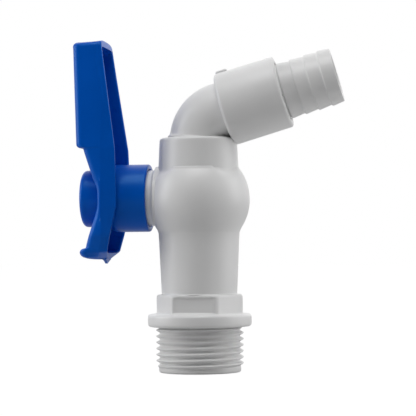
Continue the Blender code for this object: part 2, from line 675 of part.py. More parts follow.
def lever_front():
    """The lever's side view, front edge, from the tip down: (height, distance from the flow axis)."""
    outline = arc(LEVER_TIP_HEIGHT - LEVER_TIP_EDGE, LEVER_TIP_FRONT - LEVER_TIP_EDGE, LEVER_TIP_EDGE, 0, 90, TIP_EDGE_STEPS)
    foot = GRIP_FOOT_HEIGHT + LIP_RADIUS
    outline += arc(foot, GRIP_FOOT_FRONT - LIP_RADIUS, LIP_RADIUS, 90, 180, ARC_STEPS)
    outline += [
        (GRIP_FOOT_HEIGHT - LIP_DRAFT, SLOPE_HEAD_FRONT),
        (SLOPE_FOOT_HEIGHT, SLOPE_FOOT_FRONT),
        (VALLEY_HALF_HEIGHT, VALLEY_FRONT),
        (-VALLEY_HALF_HEIGHT, VALLEY_FRONT),
        (TAIL_SLOPE_HEIGHT, TAIL_SLOPE_FRONT),
    ]
    outline += arc(BEAD_HEIGHT, BEAD_FRONT, BEAD_RADIUS, 10, 170, BEAD_STEPS)
    outline.append((TAIL_HEIGHT, TAIL_FRONT))
    return outline


def lever_tables():
    rear = [
        (LEVER_TIP_HEIGHT, LEVER_TIP_REAR),
        (GRIP_FOOT_HEIGHT, GRIP_FOOT_REAR),
        (VALLEY_HALF_HEIGHT, VALLEY_REAR),
        (-VALLEY_HALF_HEIGHT, VALLEY_REAR),
        (TAIL_CUT_HEIGHT, TAIL_CUT_REAR),
        (TAIL_HEIGHT, TAIL_REAR),
    ]
    half_width = [
        (LEVER_TIP_HEIGHT, LEVER_TIP_HALF_WIDTH),
        (GRIP_FOOT_HEIGHT, GRIP_FOOT_HALF_WIDTH),
        (VALLEY_HALF_HEIGHT, VALLEY_HALF_WIDTH),
        (-VALLEY_HALF_HEIGHT, VALLEY_HALF_WIDTH),
        (TAIL_SHOULDER_HEIGHT, TAIL_SHOULDER_HALF_WIDTH),
        (TAIL_CUT_HEIGHT, TAIL_CUT_HALF_WIDTH),
        (TAIL_HEIGHT, TAIL_HALF_WIDTH),
    ]
    return rear, half_width


def lever_blank(blue, stem_axis):
    """The lever's outside as one solid."""
    rear, half_width = lever_tables()
    rings = []
    for height, front in lever_front():
        sizes = at_height(rear, height), at_height(half_width, height)
        rings.append(lever_section(height, front, *sizes, LEVER_EDGE_RADIUS))
    return bridged("handle", rings, blue, ends=True, parent=stem_axis)


def lever_hollow(blue, stem_axis):
    """The space inside the lever, open at the back, with the hub's column left standing."""
    rear, half_width = lever_tables()
    foot = GRIP_FOOT_HEIGHT + LEVER_WALL
    stations = [
        (LEVER_TIP_HEIGHT - LEVER_END_WALL, LEVER_TIP_FRONT),
        (foot, GRIP_FOOT_FRONT),
        (foot - LIP_DRAFT, SLOPE_HEAD_FRONT),
        (SLOPE_FOOT_HEIGHT, SLOPE_FOOT_FRONT),
        (VALLEY_HALF_HEIGHT, VALLEY_FRONT),
        (-VALLEY_HALF_HEIGHT, VALLEY_FRONT),
        (TAIL_HEIGHT + LEVER_END_WALL, TAIL_SLOPE_FRONT),
    ]
    rings = []
    for height, front in stations:
        back = at_height(rear, height) - OVERRUN
        half = at_height(half_width, height) - LEVER_WALL
        rings.append(lever_section(height, front - LEVER_WALL, back, half, LEVER_EDGE_RADIUS - LEVER_WALL))
    hollow = bridged("lever_hollow", rings, blue, ends=True, parent=stem_axis)
    column = cylinder(
        "hub_column", HUB_COLUMN_RADIUS, SKIRT_END, LEVER_TIP_FRONT, blue, BODY_SIDES, parent=stem_axis
    )
    combine(hollow, "DIFFERENCE", column)
    return hollow


def tail_point(blue, stem_axis):
    """The rim under the tail's open side, drawn down to a shallow point in the middle."""
    root = TAIL_HEIGHT + LEVER_END_WALL / 2
    corners = [
        (root, -POINT_HALF_WIDTH),
        (TAIL_HEIGHT, -POINT_HALF_WIDTH),
        (TAIL_HEIGHT - POINT_DROP, 0),
        (TAIL_HEIGHT, POINT_HALF_WIDTH),
        (root, POINT_HALF_WIDTH),
    ]
    rings = []
    for out in (TAIL_REAR, TAIL_REAR + POINT_THICKNESS):
        rings.append([Vector((height, across, out)) for height, across in corners])
    return bridged("tail_point", rings, blue, ends=True, parent=stem_axis)


def make_handle(blue, stem_axis):
    """The lever: a hollow moulding with a hub, a skirt over the boss and a seat for the cap."""
    handle = lever_blank(blue, stem_axis)
    combine(handle, "DIFFERENCE", lever_hollow(blue, stem_axis))
    place = {"parent": stem_axis}
    skirt = cylinder("skirt", SKIRT_RADIUS, SKIRT_END, HUB_FLOOR + OVERRUN, blue, BODY_SIDES, **place)
    combine(handle, "UNION", skirt)
    bore = cylinder("skirt_bore", SKIRT_BORE_RADIUS, SKIRT_END - OVERRUN, HUB_FLOOR, blue, BODY_SIDES, **place)
    combine(handle, "DIFFERENCE", bore)
    far = CAP_FRONT + OVERRUN
    seat = cylinder("cap_seat", CAP_RADIUS + GAP, CAP_SEAT, far, blue, BODY_SIDES, **place)
    combine(handle, "DIFFERENCE", seat)
    boss_foot = CAP_SEAT - OVERRUN / 2
    boss = cylinder("front_boss", FRONT_BOSS_RADIUS, boss_foot, FRONT_BOSS_END, blue, STEM_SIDES, **place)
    combine(handle, "UNION", boss)
    socket_end = DRIVE_END + GAP
    recess = [
        (socket_end - OVERRUN, 0),
        (socket_end - OVERRUN, SCREW_HOLE_RADIUS),
        (SCREW_SEAT, SCREW_HOLE_RADIUS),
        (SCREW_SEAT, SCREW_RECESS_RADIUS),
        (far, SCREW_RECESS_RADIUS),
        (far, 0),
    ]
    combine(handle, "DIFFERENCE", turned("screw_recess", recess, blue, SCREW_SIDES, **place))
    half = DRIVE_WIDTH / 2 + GAP
    low = (-half, -half, HUB_FLOOR - OVERRUN)
    high = (half, half, socket_end)
    combine(handle, "DIFFERENCE", box("drive_socket", low, high, blue, **place))
    groove = sector(
        "stop_groove", STOP_INNER_RADIUS - GAP, STOP_OUTER_RADIUS + GAP, HUB_FLOOR - OVERRUN,
        BOSS_REACH + STOP_HEIGHT + GAP, STOP_START - STOP_SLACK,
        STOP_START + STOP_SPAN + QUARTER_TURN + STOP_SLACK, blue, **place,
    )
    combine(handle, "DIFFERENCE", groove)
    combine(handle, "UNION", tail_point(blue, stem_axis))
    return handle


def make_screw(steel, stem_axis):
    profile = [
        (SCREW_TIP, 0),
        (SCREW_TIP, SCREW_RADIUS),
        (SCREW_HEAD_FOOT, SCREW_RADIUS),
        (SCREW_HEAD_FOOT, SCREW_HEAD_RADIUS),
        (SCREW_HEAD_TOP - SCREW_HEAD_DOME, SCREW_HEAD_RADIUS),
        (SCREW_HEAD_TOP, SCREW_HEAD_RADIUS - SCREW_HEAD_DOME),
        (SCREW_HEAD_TOP, 0),
    ]
    return turned("handle_screw", profile, steel, SCREW_SIDES, parent=stem_axis)


def make_cap(blue, stem_axis):
    """A cup over the front boss, with a rounded front edge."""
    profile = [
        (CAP_FLOOR, 0),
        (CAP_FLOOR, FRONT_BOSS_RADIUS + GAP),
        (CAP_SEAT + GAP, FRONT_BOSS_RADIUS + GAP),
        (CAP_SEAT + GAP, CAP_RADIUS),
    ]
    profile += reversed(arc(CAP_FRONT - CAP_EDGE, CAP_RADIUS - CAP_EDGE, CAP_EDGE, 0, 90, ARC_STEPS))
    profile.append((CAP_FRONT, 0))
    return turned("handle_cap", profile, blue, CAP_SIDES, parent=stem_axis)


def clear_scene():
    for obj in list(bpy.data.objects):
        bpy.data.objects.remove(obj, do_unlink=True)


def main():
    clear_scene()
    white = surface("white_plastic", (0.74, 0.75, 0.77), 0.35)
    inner = surface("ball_plastic", (0.83, 0.83, 0.80), 0.25)
    blue = surface("blue_plastic", (0.0, 0.045, 0.3), 0.35)
    ptfe = surface("seat_plastic", (0.88, 0.88, 0.86), 0.45)
    rubber = surface("black_rubber", (0.02, 0.02, 0.02), 0.7)
    steel = surface("bright_steel", (0.55, 0.56, 0.57), 0.3, metallic=1.0)

    flow_frame = Matrix.Translation((0, 0, STEM_HEIGHT))
    stem_frame = flow_frame @ Matrix.Rotation(-QUARTER_TURN, 4, "Y")
    stem_axis = bpy.data.objects.new("stem_axis", None)
    bpy.context.scene.collection.objects.link(stem_axis)
    stem_axis.location = stem_frame.to_translation()
    stem_axis.rotation_euler = stem_frame.to_euler()

    make_body(white, stem_frame)
    make_seat("inlet_seat", -1, ptfe, flow_frame)
    make_seat("outlet_seat", 1, ptfe, flow_frame)
    round_ring("inlet_seat_backing_ring", SEAT_RING_RADIUS, SEAT_RING_TUBE, -SEAT_RING_SEAT, rubber, frame=flow_frame)
    round_ring("outlet_seat_backing_ring", SEAT_RING_RADIUS, SEAT_RING_TUBE, SEAT_RING_SEAT, rubber, frame=flow_frame)
    make_seat_carrier(inner, flow_frame)

    make_spout(white)
    gasket_head = COLLAR_GASKET_FOOT + COLLAR_GASKET_THICKNESS
    flat_ring("collar_gasket", POCKET_RADIUS, NECK_RADIUS, COLLAR_GASKET_FOOT, gasket_head, rubber, BODY_SIDES)
    make_nipple(white)
    flat_ring(
        "nipple_gasket", GASKET_BORE_RADIUS, NIPPLE_SPIGOT_RADIUS, GAP, GAP + GASKET_THICKNESS, rubber,
        RING_SIDES, frame=spout_frame(SOCKET_FLOOR),
    )

    make_ball(inner, stem_axis)
    make_stem(inner, stem_axis)
    for name, seat in zip(("stem_o_ring_inner", "stem_o_ring_outer"), STEM_RING_SEATS):
        round_ring(name, STEM_RING_RADIUS, STEM_RING_TUBE, seat, rubber, parent=stem_axis)
    flat_ring(
        "stem_thrust_washer", BOSS_BORE_RADIUS, STEM_FLANGE_RADIUS, THRUST_WASHER_FOOT, THRUST_WASHER_HEAD, ptfe,
        STEM_SIDES, parent=stem_axis,
    )
    make_handle(blue, stem_axis)
    flat_ring(
        "screw_washer", SCREW_HOLE_RADIUS, SCREW_WASHER_RADIUS, WASHER_FOOT, WASHER_HEAD, steel,
        SCREW_SIDES, parent=stem_axis,
    )
    make_screw(steel, stem_axis)
    make_cap(blue, stem_axis)


main()
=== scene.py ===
"""The looks of the plastic ball tap: mouldings with roundings, thread and barbs, and their materials."""

import math

import bmesh
import bpy
from mathutils import Matrix, Vector


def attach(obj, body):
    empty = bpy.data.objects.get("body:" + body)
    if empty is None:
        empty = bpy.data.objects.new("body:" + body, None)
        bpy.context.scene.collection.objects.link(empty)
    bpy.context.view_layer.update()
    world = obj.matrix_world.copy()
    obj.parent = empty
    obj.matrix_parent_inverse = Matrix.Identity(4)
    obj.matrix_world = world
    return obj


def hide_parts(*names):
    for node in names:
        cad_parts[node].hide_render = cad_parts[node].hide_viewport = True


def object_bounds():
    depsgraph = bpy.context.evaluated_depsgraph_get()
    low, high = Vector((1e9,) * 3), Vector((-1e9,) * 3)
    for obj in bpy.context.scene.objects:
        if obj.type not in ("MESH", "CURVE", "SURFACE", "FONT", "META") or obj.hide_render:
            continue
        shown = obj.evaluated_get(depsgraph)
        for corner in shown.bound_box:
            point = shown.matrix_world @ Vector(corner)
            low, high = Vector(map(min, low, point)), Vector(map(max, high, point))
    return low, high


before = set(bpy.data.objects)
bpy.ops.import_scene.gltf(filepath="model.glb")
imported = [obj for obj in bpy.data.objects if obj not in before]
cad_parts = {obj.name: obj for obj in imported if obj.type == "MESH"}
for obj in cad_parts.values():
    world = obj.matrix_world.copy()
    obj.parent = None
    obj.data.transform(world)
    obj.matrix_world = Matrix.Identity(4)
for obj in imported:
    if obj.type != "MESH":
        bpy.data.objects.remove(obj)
CAD_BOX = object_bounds()

# Camera, fitted to the photograph's outline
CAMERA_YAW = math.radians(8.2)
CAMERA_PITCH = math.radians(1.31)
CAMERA_ROLL = math.radians(-0.5)
CAMERA_DISTANCE = 0.53
CAMERA_LENS = 152.2
CAMERA_SENSOR = 36
CAMERA_NEAR = 0.01
CAMERA_FAR = 20
CAMERA_AIM = Vector((0.0028, 0, 0.0493))

# Clearances, how near its axis a closed profile ends, and the angle past which an edge stays sharp
GAP = 0.0003
OVERRUN = 0.002
MERGE_DISTANCE = 0.000002
AXIS_RADIUS = 0.0001
SHARP_ANGLE = 35
BODY_SHARP_ANGLE = 48
NIPPLE_SHARP_ANGLE = 50
LEVER_SHARP_ANGLE = 40

# Inlet thread
THREAD_CREST_RADIUS = 0.0132
THREAD_ROOT_RADIUS = 0.01206
THREAD_PITCH = 0.001814
THREAD_CREST_HEIGHT = 0.0117
THREAD_LENGTH = 0.0137
THREAD_LEAD = 0.0009
THREAD_LEAD_RADIUS = 0.01235
THREAD_START = 0.0011
THREAD_FULL = 0.0028
THREAD_RUNOUT = 0.013
THREAD_ROW = 0.00009
THREAD_SHARPNESS = 1.15
END_ROUNDING = 0.0006
INLET_BORE_RADIUS = 0.0085
INLET_BORE_LENGTH = 0.033
INLET_THROAT_LENGTH = 0.0365
INLET_PORT_RADIUS = 0.006

# Flange and spanner hexagon
FLANGE_RADIUS = 0.0156
FLANGE_TOP = 0.0175
FLANGE_ROUNDING = 0.0009
HEX_APOTHEM = 0.0117
HEX_CORNER_RADIUS = 0.01305
HEX_TOP = 0.0234
HEX_ROUNDING = 0.0009
HEX_FLAT_SHARE = 0.4
HEX_CORNER_BLEND = 0.0002
PANEL_HALF_WIDTH = 0.0062
PANEL_LOW = 0.0179
PANEL_HIGH = 0.0226
PANEL_DEPTH = 0.0004
PANEL_EDGE = 0.00015

# Barrel, ball chamber and neck
BARREL_FOOT_RADIUS = 0.01135
BARREL_HEAD_RADIUS = 0.0123
BARREL_TAPER = 1.35
STEM_HEIGHT = 0.0525
CHAMBER_HEIGHT = 0.0519
CHAMBER_RADIUS = 0.0154
LEDGE_HEIGHT = 0.0615
LEDGE_ROUNDING = 0.0004
LEDGE_DRAW_IN = 0.7
NECK_RADIUS = 0.0105
NECK_TOP = 0.068
POCKET_RADIUS = 0.0093
SEAT_SHELF = 0.0443
BODY_BLEND = 0.0009
BOSS_FLARE = 0.0011
BOSS_FLARE_END = 0.0138
BOSS_RADIUS = 0.0084
BOSS_REACH = 0.0225
BOSS_ROUNDING = 0.0003
STEM_BORE_START = 0.001
STEM_BORE_RADIUS = 0.005
SPOT_FACE_RADIUS = 0.0065
SPOT_FACE = 0.012
STOP_INNER_RADIUS = 0.0062
STOP_OUTER_RADIUS = 0.0082
STOP_HEIGHT = 0.0014
STOP_SPAN = math.radians(24)
GROOVE_START = math.radians(-15)
GROOVE_END = math.radians(105)

# Sloping facets on the chamber's shoulder
FACET_TURN = math.radians(38)
FACET_SPAN = math.radians(60)
FACET_FOOT = 0.0586
FACET_FOOT_RADIUS = 0.0136
FACET_SLOPE = 0.95
FACET_BLEND = 0.0002

# Spout
COLLAR_FOOT = LEDGE_HEIGHT - LEDGE_ROUNDING
COLLAR_FOOT_RADIUS = 0.0121
COLLAR_HEAD_RADIUS = 0.01165
COLLAR_TOP = 0.0704
COLLAR_ROUNDING = 0.0009
CUP_RADIUS = 0.0108
CUP_ROOF = 0.0694
SPOUT_RADIUS = 0.0086
SPOUT_BORE_RADIUS = 0.0063
SPOUT_BEND_HEIGHT = 0.0696
SPOUT_BEND_RADIUS = 0.0091
SPOUT_RISE_ANGLE = math.radians(16.2)
BEND_TURN = math.radians(90) - SPOUT_RISE_ANGLE
BEND_LENGTH = SPOUT_BEND_RADIUS * BEND_TURN
SPOUT_FOOT_FLARE = 0.0006
SOCKET_GAP = 0.0015
SOCKET_LENGTH = 0.0187
SOCKET_FOOT = BEND_LENGTH + SOCKET_GAP
SOCKET_MOUTH = SOCKET_FOOT + SOCKET_LENGTH
SOCKET_REAR_RADIUS = 0.0111
SOCKET_MOUTH_RADIUS = 0.01095
SOCKET_ROUNDING = 0.0008
SOCKET_REAR_ROUNDING = 0.0012
SOCKET_DEPTH = 0.012
SOCKET_BORE_RADIUS = 0.0089
NUB_LENGTH = 0.0036
NUB_WIDTH = 0.0026
NUB_HEIGHT = 0.0007
NUB_ROUNDING = 0.0005
NUB_INSET = 0.0007
NUB_ROOT = 0.001

# Hose nipple
NIPPLE_FOOT = -0.0104
NIPPLE_SPIGOT_RADIUS = 0.0086
NIPPLE_BORE_RADIUS = 0.0062
NIPPLE_BARBS = 4
BARB_PITCH = 0.00418
BARB_CREST_RADIUS = 0.00855
BARB_ROOT_RADIUS = 0.00815
BARB_SHOULDER = 0.00016
BARB_ROUNDING = 0.0005
BARB_ROOT = 0.0004
BARB_ARC = (165, 80)
NOSE_ROUNDING = 0.0004

# Lever: heights are above the stem's axis, fronts and rears are distances from the flow axis
LEVER_TIP_HEIGHT = 0.0469
LEVER_TIP_ROUNDING = 0.0014
LEVER_TIP_FRONT = 0.0368
LEVER_TIP_REAR = 0.028
LEVER_TIP_HALF_WIDTH = 0.0096
TIP_SLOPE = 0.0005
TIP_CROWN = 0.0006
TIP_DROP = 0.0003
TIP_LENGTH = 0.01
TIP_REAR_SHARE = 0.15
GRIP_FOOT_HEIGHT = 0.0149
GRIP_FOOT_FRONT = 0.03545
GRIP_FOOT_REAR = 0.0235
GRIP_FOOT_HALF_WIDTH = 0.0123
LIP_RADIUS = 0.0013
LIP_DRAFT = 0.0002
LIP_STEP = 0.0004
SLOPE_EASE = 0.0011
SLOPE_HEAD_FRONT = 0.03335
SLOPE_FOOT_HEIGHT = 0.0053
SLOPE_FOOT_FRONT = 0.0302
VALLEY_HALF_HEIGHT = 0.0026
VALLEY_FRONT = 0.0288
VALLEY_REAR = 0.0231
VALLEY_HALF_WIDTH = 0.0128
TAIL_SLOPE_HEIGHT = -0.0149
TAIL_SLOPE_FRONT = 0.03295
TAIL_SHOULDER_HEIGHT = -0.0112
TAIL_SHOULDER_HALF_WIDTH = 0.0127
BEAD_RADIUS = 0.0014
BEAD_FRONT = 0.03345
BEAD_HEIGHT = -0.0165
BEAD_ARC = (10, 172)
TAIL_CUT_HEIGHT = -0.0161
TAIL_CUT_REAR = 0.0262
TAIL_CUT_HALF_WIDTH = 0.0113
TAIL_HEIGHT = -0.0184
TAIL_FRONT = 0.0296
TAIL_REAR = 0.0278
TAIL_HALF_WIDTH = 0.0037
TAIL_FRONT_HALF_WIDTH = 0.0106
TAIL_FLARE_REACH = 0.005
LEVER_EDGE_RADIUS = 0.0022
LEVER_WALL = 0.0017
LEVER_RIM_WALL = 0.0012
LEVER_END_WALL = 0.002
LEVER_INNER_RADIUS = 0.0008
PARTING_FRONT = 0.0276
PARTING_HALF_STEP = 0.0001
PARTING_DRAFT_SHARE = 0.04
REAR_DRAFT = 0.0008
FRONT_DRAFT = 0.0003
POINT_HALF_WIDTH = 0.0037
POINT_THICKNESS = 0.0013
POINT_DROP = 0.0013
POINT_OFFSET = 0.0017

# Hub of the lever
SKIRT_END = 0.0148
SKIRT_RADIUS = 0.0102
SKIRT_BORE_RADIUS = 0.0087
SKIRT_ROUNDING = 0.0005
HUB_FLOOR = 0.0228
HUB_DRAW_IN = 0.0246
HUB_ARC = (90, 33)
HUB_ROUNDING = 0.0022
SOCKET_END = 0.0291
SCREW_SEAT = 0.0306
SCREW_RECESS_RADIUS = 0.0043
SCREW_HOLE_RADIUS = 0.0016
DRIVE_HALF_WIDTH = 0.0033
FRONT_BOSS_RADIUS = 0.0065
FRONT_BOSS_END = 0.0339
CAP_SEAT = 0.0285

# Cap
CAP_RADIUS = 0.0086
CAP_FRONT = 0.0352
CAP_FLOOR = 0.0342
CAP_ROUNDING = 0.0013
CAP_ARC = (90, 4)
CAP_FACE_SHARES = (0.8, 0.6, 0.4, 0.2)

# Light tent: axis, where its glow starts and ends, and how strong it is
TENT = (("Y", 0.0, 0.9, 1.0), ("Z", 0.3, 1.0, 0.3))

# Softboxes: name, place, width and height, and power
SOFTBOX_AIM = (0, 0, 0.05)
SOFTBOXES = (
    ("left_softbox", (-0.8, -0.12, 0.15), (0.5, 0.9), 5.0),
    ("right_softbox", (0.78, 0.12, 0.15), (0.5, 0.9), 3.8),
    ("top_softbox", (0.0, -0.32, 0.87), (0.6, 0.5), 3.8),
)

# Floor, which glows for the camera only
FLOOR_HALF_SIZE = 3.0
FLOOR_COLOUR = (0.5, 0.5, 0.5, 1)
FLOOR_ROUGHNESS = 0.9
FLOOR_SPECULAR = 0.1
FLOOR_GLOW = 1.06
FLOOR_GLOW_SHARE = 0.93

# Skin of the materials
CLOUD_SCALE = 60.0
CLOUD_DETAIL = 4
CLOUD_LOW = 0.3
CLOUD_HIGH = 0.7
GRAIN_DETAIL = 3
GRAIN_DEPTH = 0.00005
ROUGHNESS_SPAN = 0.06
PLASTIC_IOR = 1.49

# Facets: sides of turned shapes, steps of curves, and where the points of a row lie
BODY_SIDES = 192
SPOUT_SIDES = 128
HUB_SIDES = 128
STEM_BORE_SIDES = 96
FRONT_BOSS_SIDES = 64
RECESS_SIDES = 48
ARC_STEPS = 5
SMALL_ARC_STEPS = 3
FLARE_STEPS = 9
HEX_STEPS = 24
BARREL_STEPS = 8
SPHERE_STEPS = 26
STOP_STEPS = 6
GROOVE_STEPS = 24
COLLAR_STEPS = 12
BEND_STEPS = 40
GRIP_STEPS = 16
LIP_STEPS = 7
SLOPE_STEPS = 60
BEAD_STEPS = 12
EDGE_STEPS = 8
CAP_STEPS = 9
HOLLOW_SHARES = (0, 0.02, 0.06, 0.15, 0.3, 0.55, 1.0)
EASE_SHARES = (-1, -0.5, 0, 0.5, 1)
FRONT_SHARES = (0.66, 0.33, 0.0)
RIM_TURNS = (22, 45, 67, 90, 113, 135, 158, 180)
RIM_KEPT = 4


def arc(along, radius, size, start, end, steps):
    """Points (along, radius) on a circle of the given size, from one angle in degrees to another."""
    points = []
    for step in range(steps + 1):
        turn = math.radians(start + (end - start) * step / steps)
        points.append((along + size * math.cos(turn), radius + size * math.sin(turn)))
    return points


def ramp(low, high, value):
    """From 0 at low to 1 at high, with soft ends."""
    share = min(max((value - low) / (high - low), 0), 1)
    return share * share * (3 - 2 * share)


def soft_least(first, second, blend):
    """The lesser of two values, with a blend where they are close."""
    share = min(max(0.5 + 0.5 * (second - first) / blend, 0), 1)
    return second + (first - second) * share - blend * share * (1 - share)


def soft_most(first, second, blend):
    return -soft_least(-first, -second, blend)


def spread(start, end, count):
    """Evenly spaced values from start to end, in this many steps."""
    return [start + (end - start) * step / count for step in range(count + 1)]


def at_height(table, height):
    """The value that a table of (height, value), listed from the top down, has at this height."""
    for (upper, first), (lower, second) in zip(table, table[1:]):
        if height >= lower:
            return first + (second - first) * min((upper - height) / (upper - lower), 1)
    return table[-1][1]


def place(points, matrix):
    return [matrix @ Vector(point) for point in points]


def bridged(bm, rows, ends=False):
    """Rows of points joined one to the next, as a closed loop of rows or with a flat face on each end."""
    made = [[bm.verts.new(point) for point in row] for row in rows]
    followers = made[1:] if ends else made[1:] + made[:1]
    for row, following in zip(made, followers):
        for side in range(len(row)):
            bm.faces.new((row[side - 1], row[side], following[side], following[side - 1]))
    if ends:
        bm.faces.new(made[0])
        bm.faces.new(made[-1])


def turned(bm, profile, sides, matrix, ends=False):
    """(along, radius) points turned about the matrix's own Z."""
    rows = []
    for along, radius in profile:
        ring = [(radius * math.cos(turn), radius * math.sin(turn), along) for turn in turns(sides)]
        rows.append(place(ring, matrix))
    bridged(bm, rows, ends)


def turns(sides):
    return [math.tau * side / sides for side in range(sides)]


def quarter_turn():
    """The angles of a quarter turn, from 0 to 90 degrees."""
    return [math.radians(90 * step / ARC_STEPS) for step in range(ARC_STEPS + 1)]


def smooth(mesh, sharp):
    mesh.shade_smooth()
    mesh.set_sharp_from_angle(angle=math.radians(sharp))


def as_object(name, bm, material, sharp=SHARP_ANGLE):
    bmesh.ops.recalc_face_normals(bm, faces=bm.faces)
    mesh = bpy.data.meshes.new(name)
    bm.to_mesh(mesh)
    bm.free()
    smooth(mesh, sharp)
    obj = bpy.data.objects.new(name, mesh)
    bpy.context.scene.collection.objects.link(obj)
    mesh.materials.append(material)
    return obj


def shells_of(obj):
    """The object's mesh, open for more shells to be added."""
    bm = bmesh.new()
    bm.from_mesh(obj.data)
    return bm


def renewed(obj, bm, sharp=SHARP_ANGLE):
    """Gives an object the shells in bm as its mesh."""
    bmesh.ops.recalc_face_normals(bm, faces=bm.faces)
    bm.to_mesh(obj.data)
    bm.free()
    smooth(obj.data, sharp)


def keep_result(obj, mesh, sharp):
    """Makes the mesh that the modifiers gave the object's own."""
    obj.modifiers.clear()
    obj.data = mesh
    smooth(mesh, sharp)


def result_of(obj):
    graph = bpy.context.evaluated_depsgraph_get()
    return bpy.data.meshes.new_from_object(obj.evaluated_get(graph))


def carve(obj, shape, operation="DIFFERENCE", sharp=SHARP_ANGLE):
    """Cuts a shape out of the object, or joins it on."""
    tool = as_object("tool", shape, obj.data.materials[0])
    modifier = obj.modifiers.new("carve", "BOOLEAN")
    modifier.operation = operation
    modifier.object = tool
    modifier.solver = "EXACT"
    mesh = result_of(obj)
    bm = bmesh.new()
    bm.from_mesh(mesh)
    bmesh.ops.remove_doubles(bm, verts=bm.verts, dist=MERGE_DISTANCE)
    bmesh.ops.dissolve_degenerate(bm, edges=bm.edges, dist=MERGE_DISTANCE)
    bm.to_mesh(mesh)
    bm.free()
    keep_result(obj, mesh, sharp)
    bpy.data.objects.remove(tool, do_unlink=True)


# Materials

def node_tree_of(material):
    material.use_nodes = True
    nodes = material.node_tree.nodes
    return nodes, material.node_tree.links, nodes["Principled BSDF"]


def set_inputs(node, values):
    for name, value in values.items():
        node.inputs[name].default_value = value


def add_sockets(group, direction, kinds):
    for name, kind in kinds.items():
        group.interface.new_socket(name, in_out=direction, socket_type="NodeSocket" + kind)


def skin_group():
    """The moulded skin of every finish: clouded colour, uneven gloss and the height of a fine grain."""
    group = bpy.data.node_groups.new("moulded_skin", "ShaderNodeTree")
    add_sockets(group, "INPUT", {
        "Colour": "Color", "Cloud Colour": "Color", "Cloud Scale": "Float", "Smoothest": "Float",
        "Roughest": "Float", "Grain Scale": "Float",
    })
    add_sockets(group, "OUTPUT", {"Colour": "Color", "Roughness": "Float", "Height": "Float"})
    nodes, links = group.nodes, group.links
    given = nodes.new("NodeGroupInput").outputs
    result = nodes.new("NodeGroupOutput").inputs
    spot = nodes.new("ShaderNodeTexCoord").outputs["Object"]
    cloud = nodes.new("ShaderNodeTexNoise")
    set_inputs(cloud, {"Detail": CLOUD_DETAIL})
    links.new(spot, cloud.inputs["Vector"])
    links.new(given["Cloud Scale"], cloud.inputs["Scale"])
    share = nodes.new("ShaderNodeMapRange")
    set_inputs(share, {"From Min": CLOUD_LOW, "From Max": CLOUD_HIGH})
    links.new(cloud.outputs["Fac"], share.inputs["Value"])
    colour = nodes.new("ShaderNodeMix")
    colour.data_type = "RGBA"
    links.new(share.outputs["Result"], colour.inputs["Factor"])
    # A mix node has one pair of inputs for each kind of data: 6 and 7 are its colours, and output 2
    links.new(given["Cloud Colour"], colour.inputs[6])
    links.new(given["Colour"], colour.inputs[7])
    links.new(colour.outputs[2], result["Colour"])
    gloss = nodes.new("ShaderNodeMapRange")
    links.new(cloud.outputs["Fac"], gloss.inputs["Value"])
    links.new(given["Smoothest"], gloss.inputs["To Min"])
    links.new(given["Roughest"], gloss.inputs["To Max"])
    links.new(gloss.outputs["Result"], result["Roughness"])
    grain = nodes.new("ShaderNodeTexNoise")
    set_inputs(grain, {"Detail": GRAIN_DETAIL})
    links.new(spot, grain.inputs["Vector"])
    links.new(given["Grain Scale"], grain.inputs["Scale"])
    links.new(grain.outputs["Fac"], result["Height"])
    return group


def finish(name, colour, cloud, roughness, bump, grain, specular=0.5, tint=(1, 1, 1), metallic=0.0):
    """One material: the shared skin with its own colours, gloss and grain."""
    material = bpy.data.materials.new(name)
    nodes, links, shader = node_tree_of(material)
    skin = nodes.new("ShaderNodeGroup")
    skin.node_tree = bpy.data.node_groups.get("moulded_skin") or skin_group()
    set_inputs(skin, {
        "Colour": (*colour, 1), "Cloud Colour": (*cloud, 1), "Cloud Scale": CLOUD_SCALE,
        "Smoothest": roughness - ROUGHNESS_SPAN, "Roughest": roughness + ROUGHNESS_SPAN, "Grain Scale": grain,
    })
    links.new(skin.outputs["Colour"], shader.inputs["Base Color"])
    links.new(skin.outputs["Roughness"], shader.inputs["Roughness"])
    relief = nodes.new("ShaderNodeBump")
    set_inputs(relief, {"Strength": bump, "Distance": GRAIN_DEPTH})
    links.new(skin.outputs["Height"], relief.inputs["Height"])
    links.new(relief.outputs["Normal"], shader.inputs["Normal"])
    set_inputs(shader, {
        "IOR": PLASTIC_IOR, "Specular IOR Level": specular, "Specular Tint": (*tint, 1), "Metallic": metallic,
    })
    return material


# Shapes made by node trees

def shape_tree(name, **sizes):
    """A Geometry Nodes tree with named inputs for its sizes, its input sockets and each point's place."""
    tree = bpy.data.node_groups.new(name, "GeometryNodeTree")
    tree.interface.new_socket("Geometry", in_out="INPUT", socket_type="NodeSocketGeometry")
    for size, value in sizes.items():
        socket = tree.interface.new_socket(size, in_out="INPUT", socket_type="NodeSocketFloat")
        socket.default_value = value
    tree.interface.new_socket("Material", in_out="INPUT", socket_type="NodeSocketMaterial")
    tree.interface.new_socket("Geometry", in_out="OUTPUT", socket_type="NodeSocketGeometry")
    given = tree.nodes.new("NodeGroupInput").outputs
    place_node = tree.nodes.new("GeometryNodeInputPosition")
    parts = tree.nodes.new("ShaderNodeSeparateXYZ")
    tree.links.new(place_node.outputs["Position"], parts.inputs["Vector"])
    return tree, given, parts.outputs


def worked_out(tree, operation, *values):
    """One sum in a tree, of sockets and numbers."""
    node = tree.nodes.new("ShaderNodeMath")
    node.operation = operation
    for socket, value in zip(node.inputs, values):
        if isinstance(value, bpy.types.NodeSocket):
            tree.links.new(value, socket)
        else:
            socket.default_value = value
    return node.outputs["Value"]


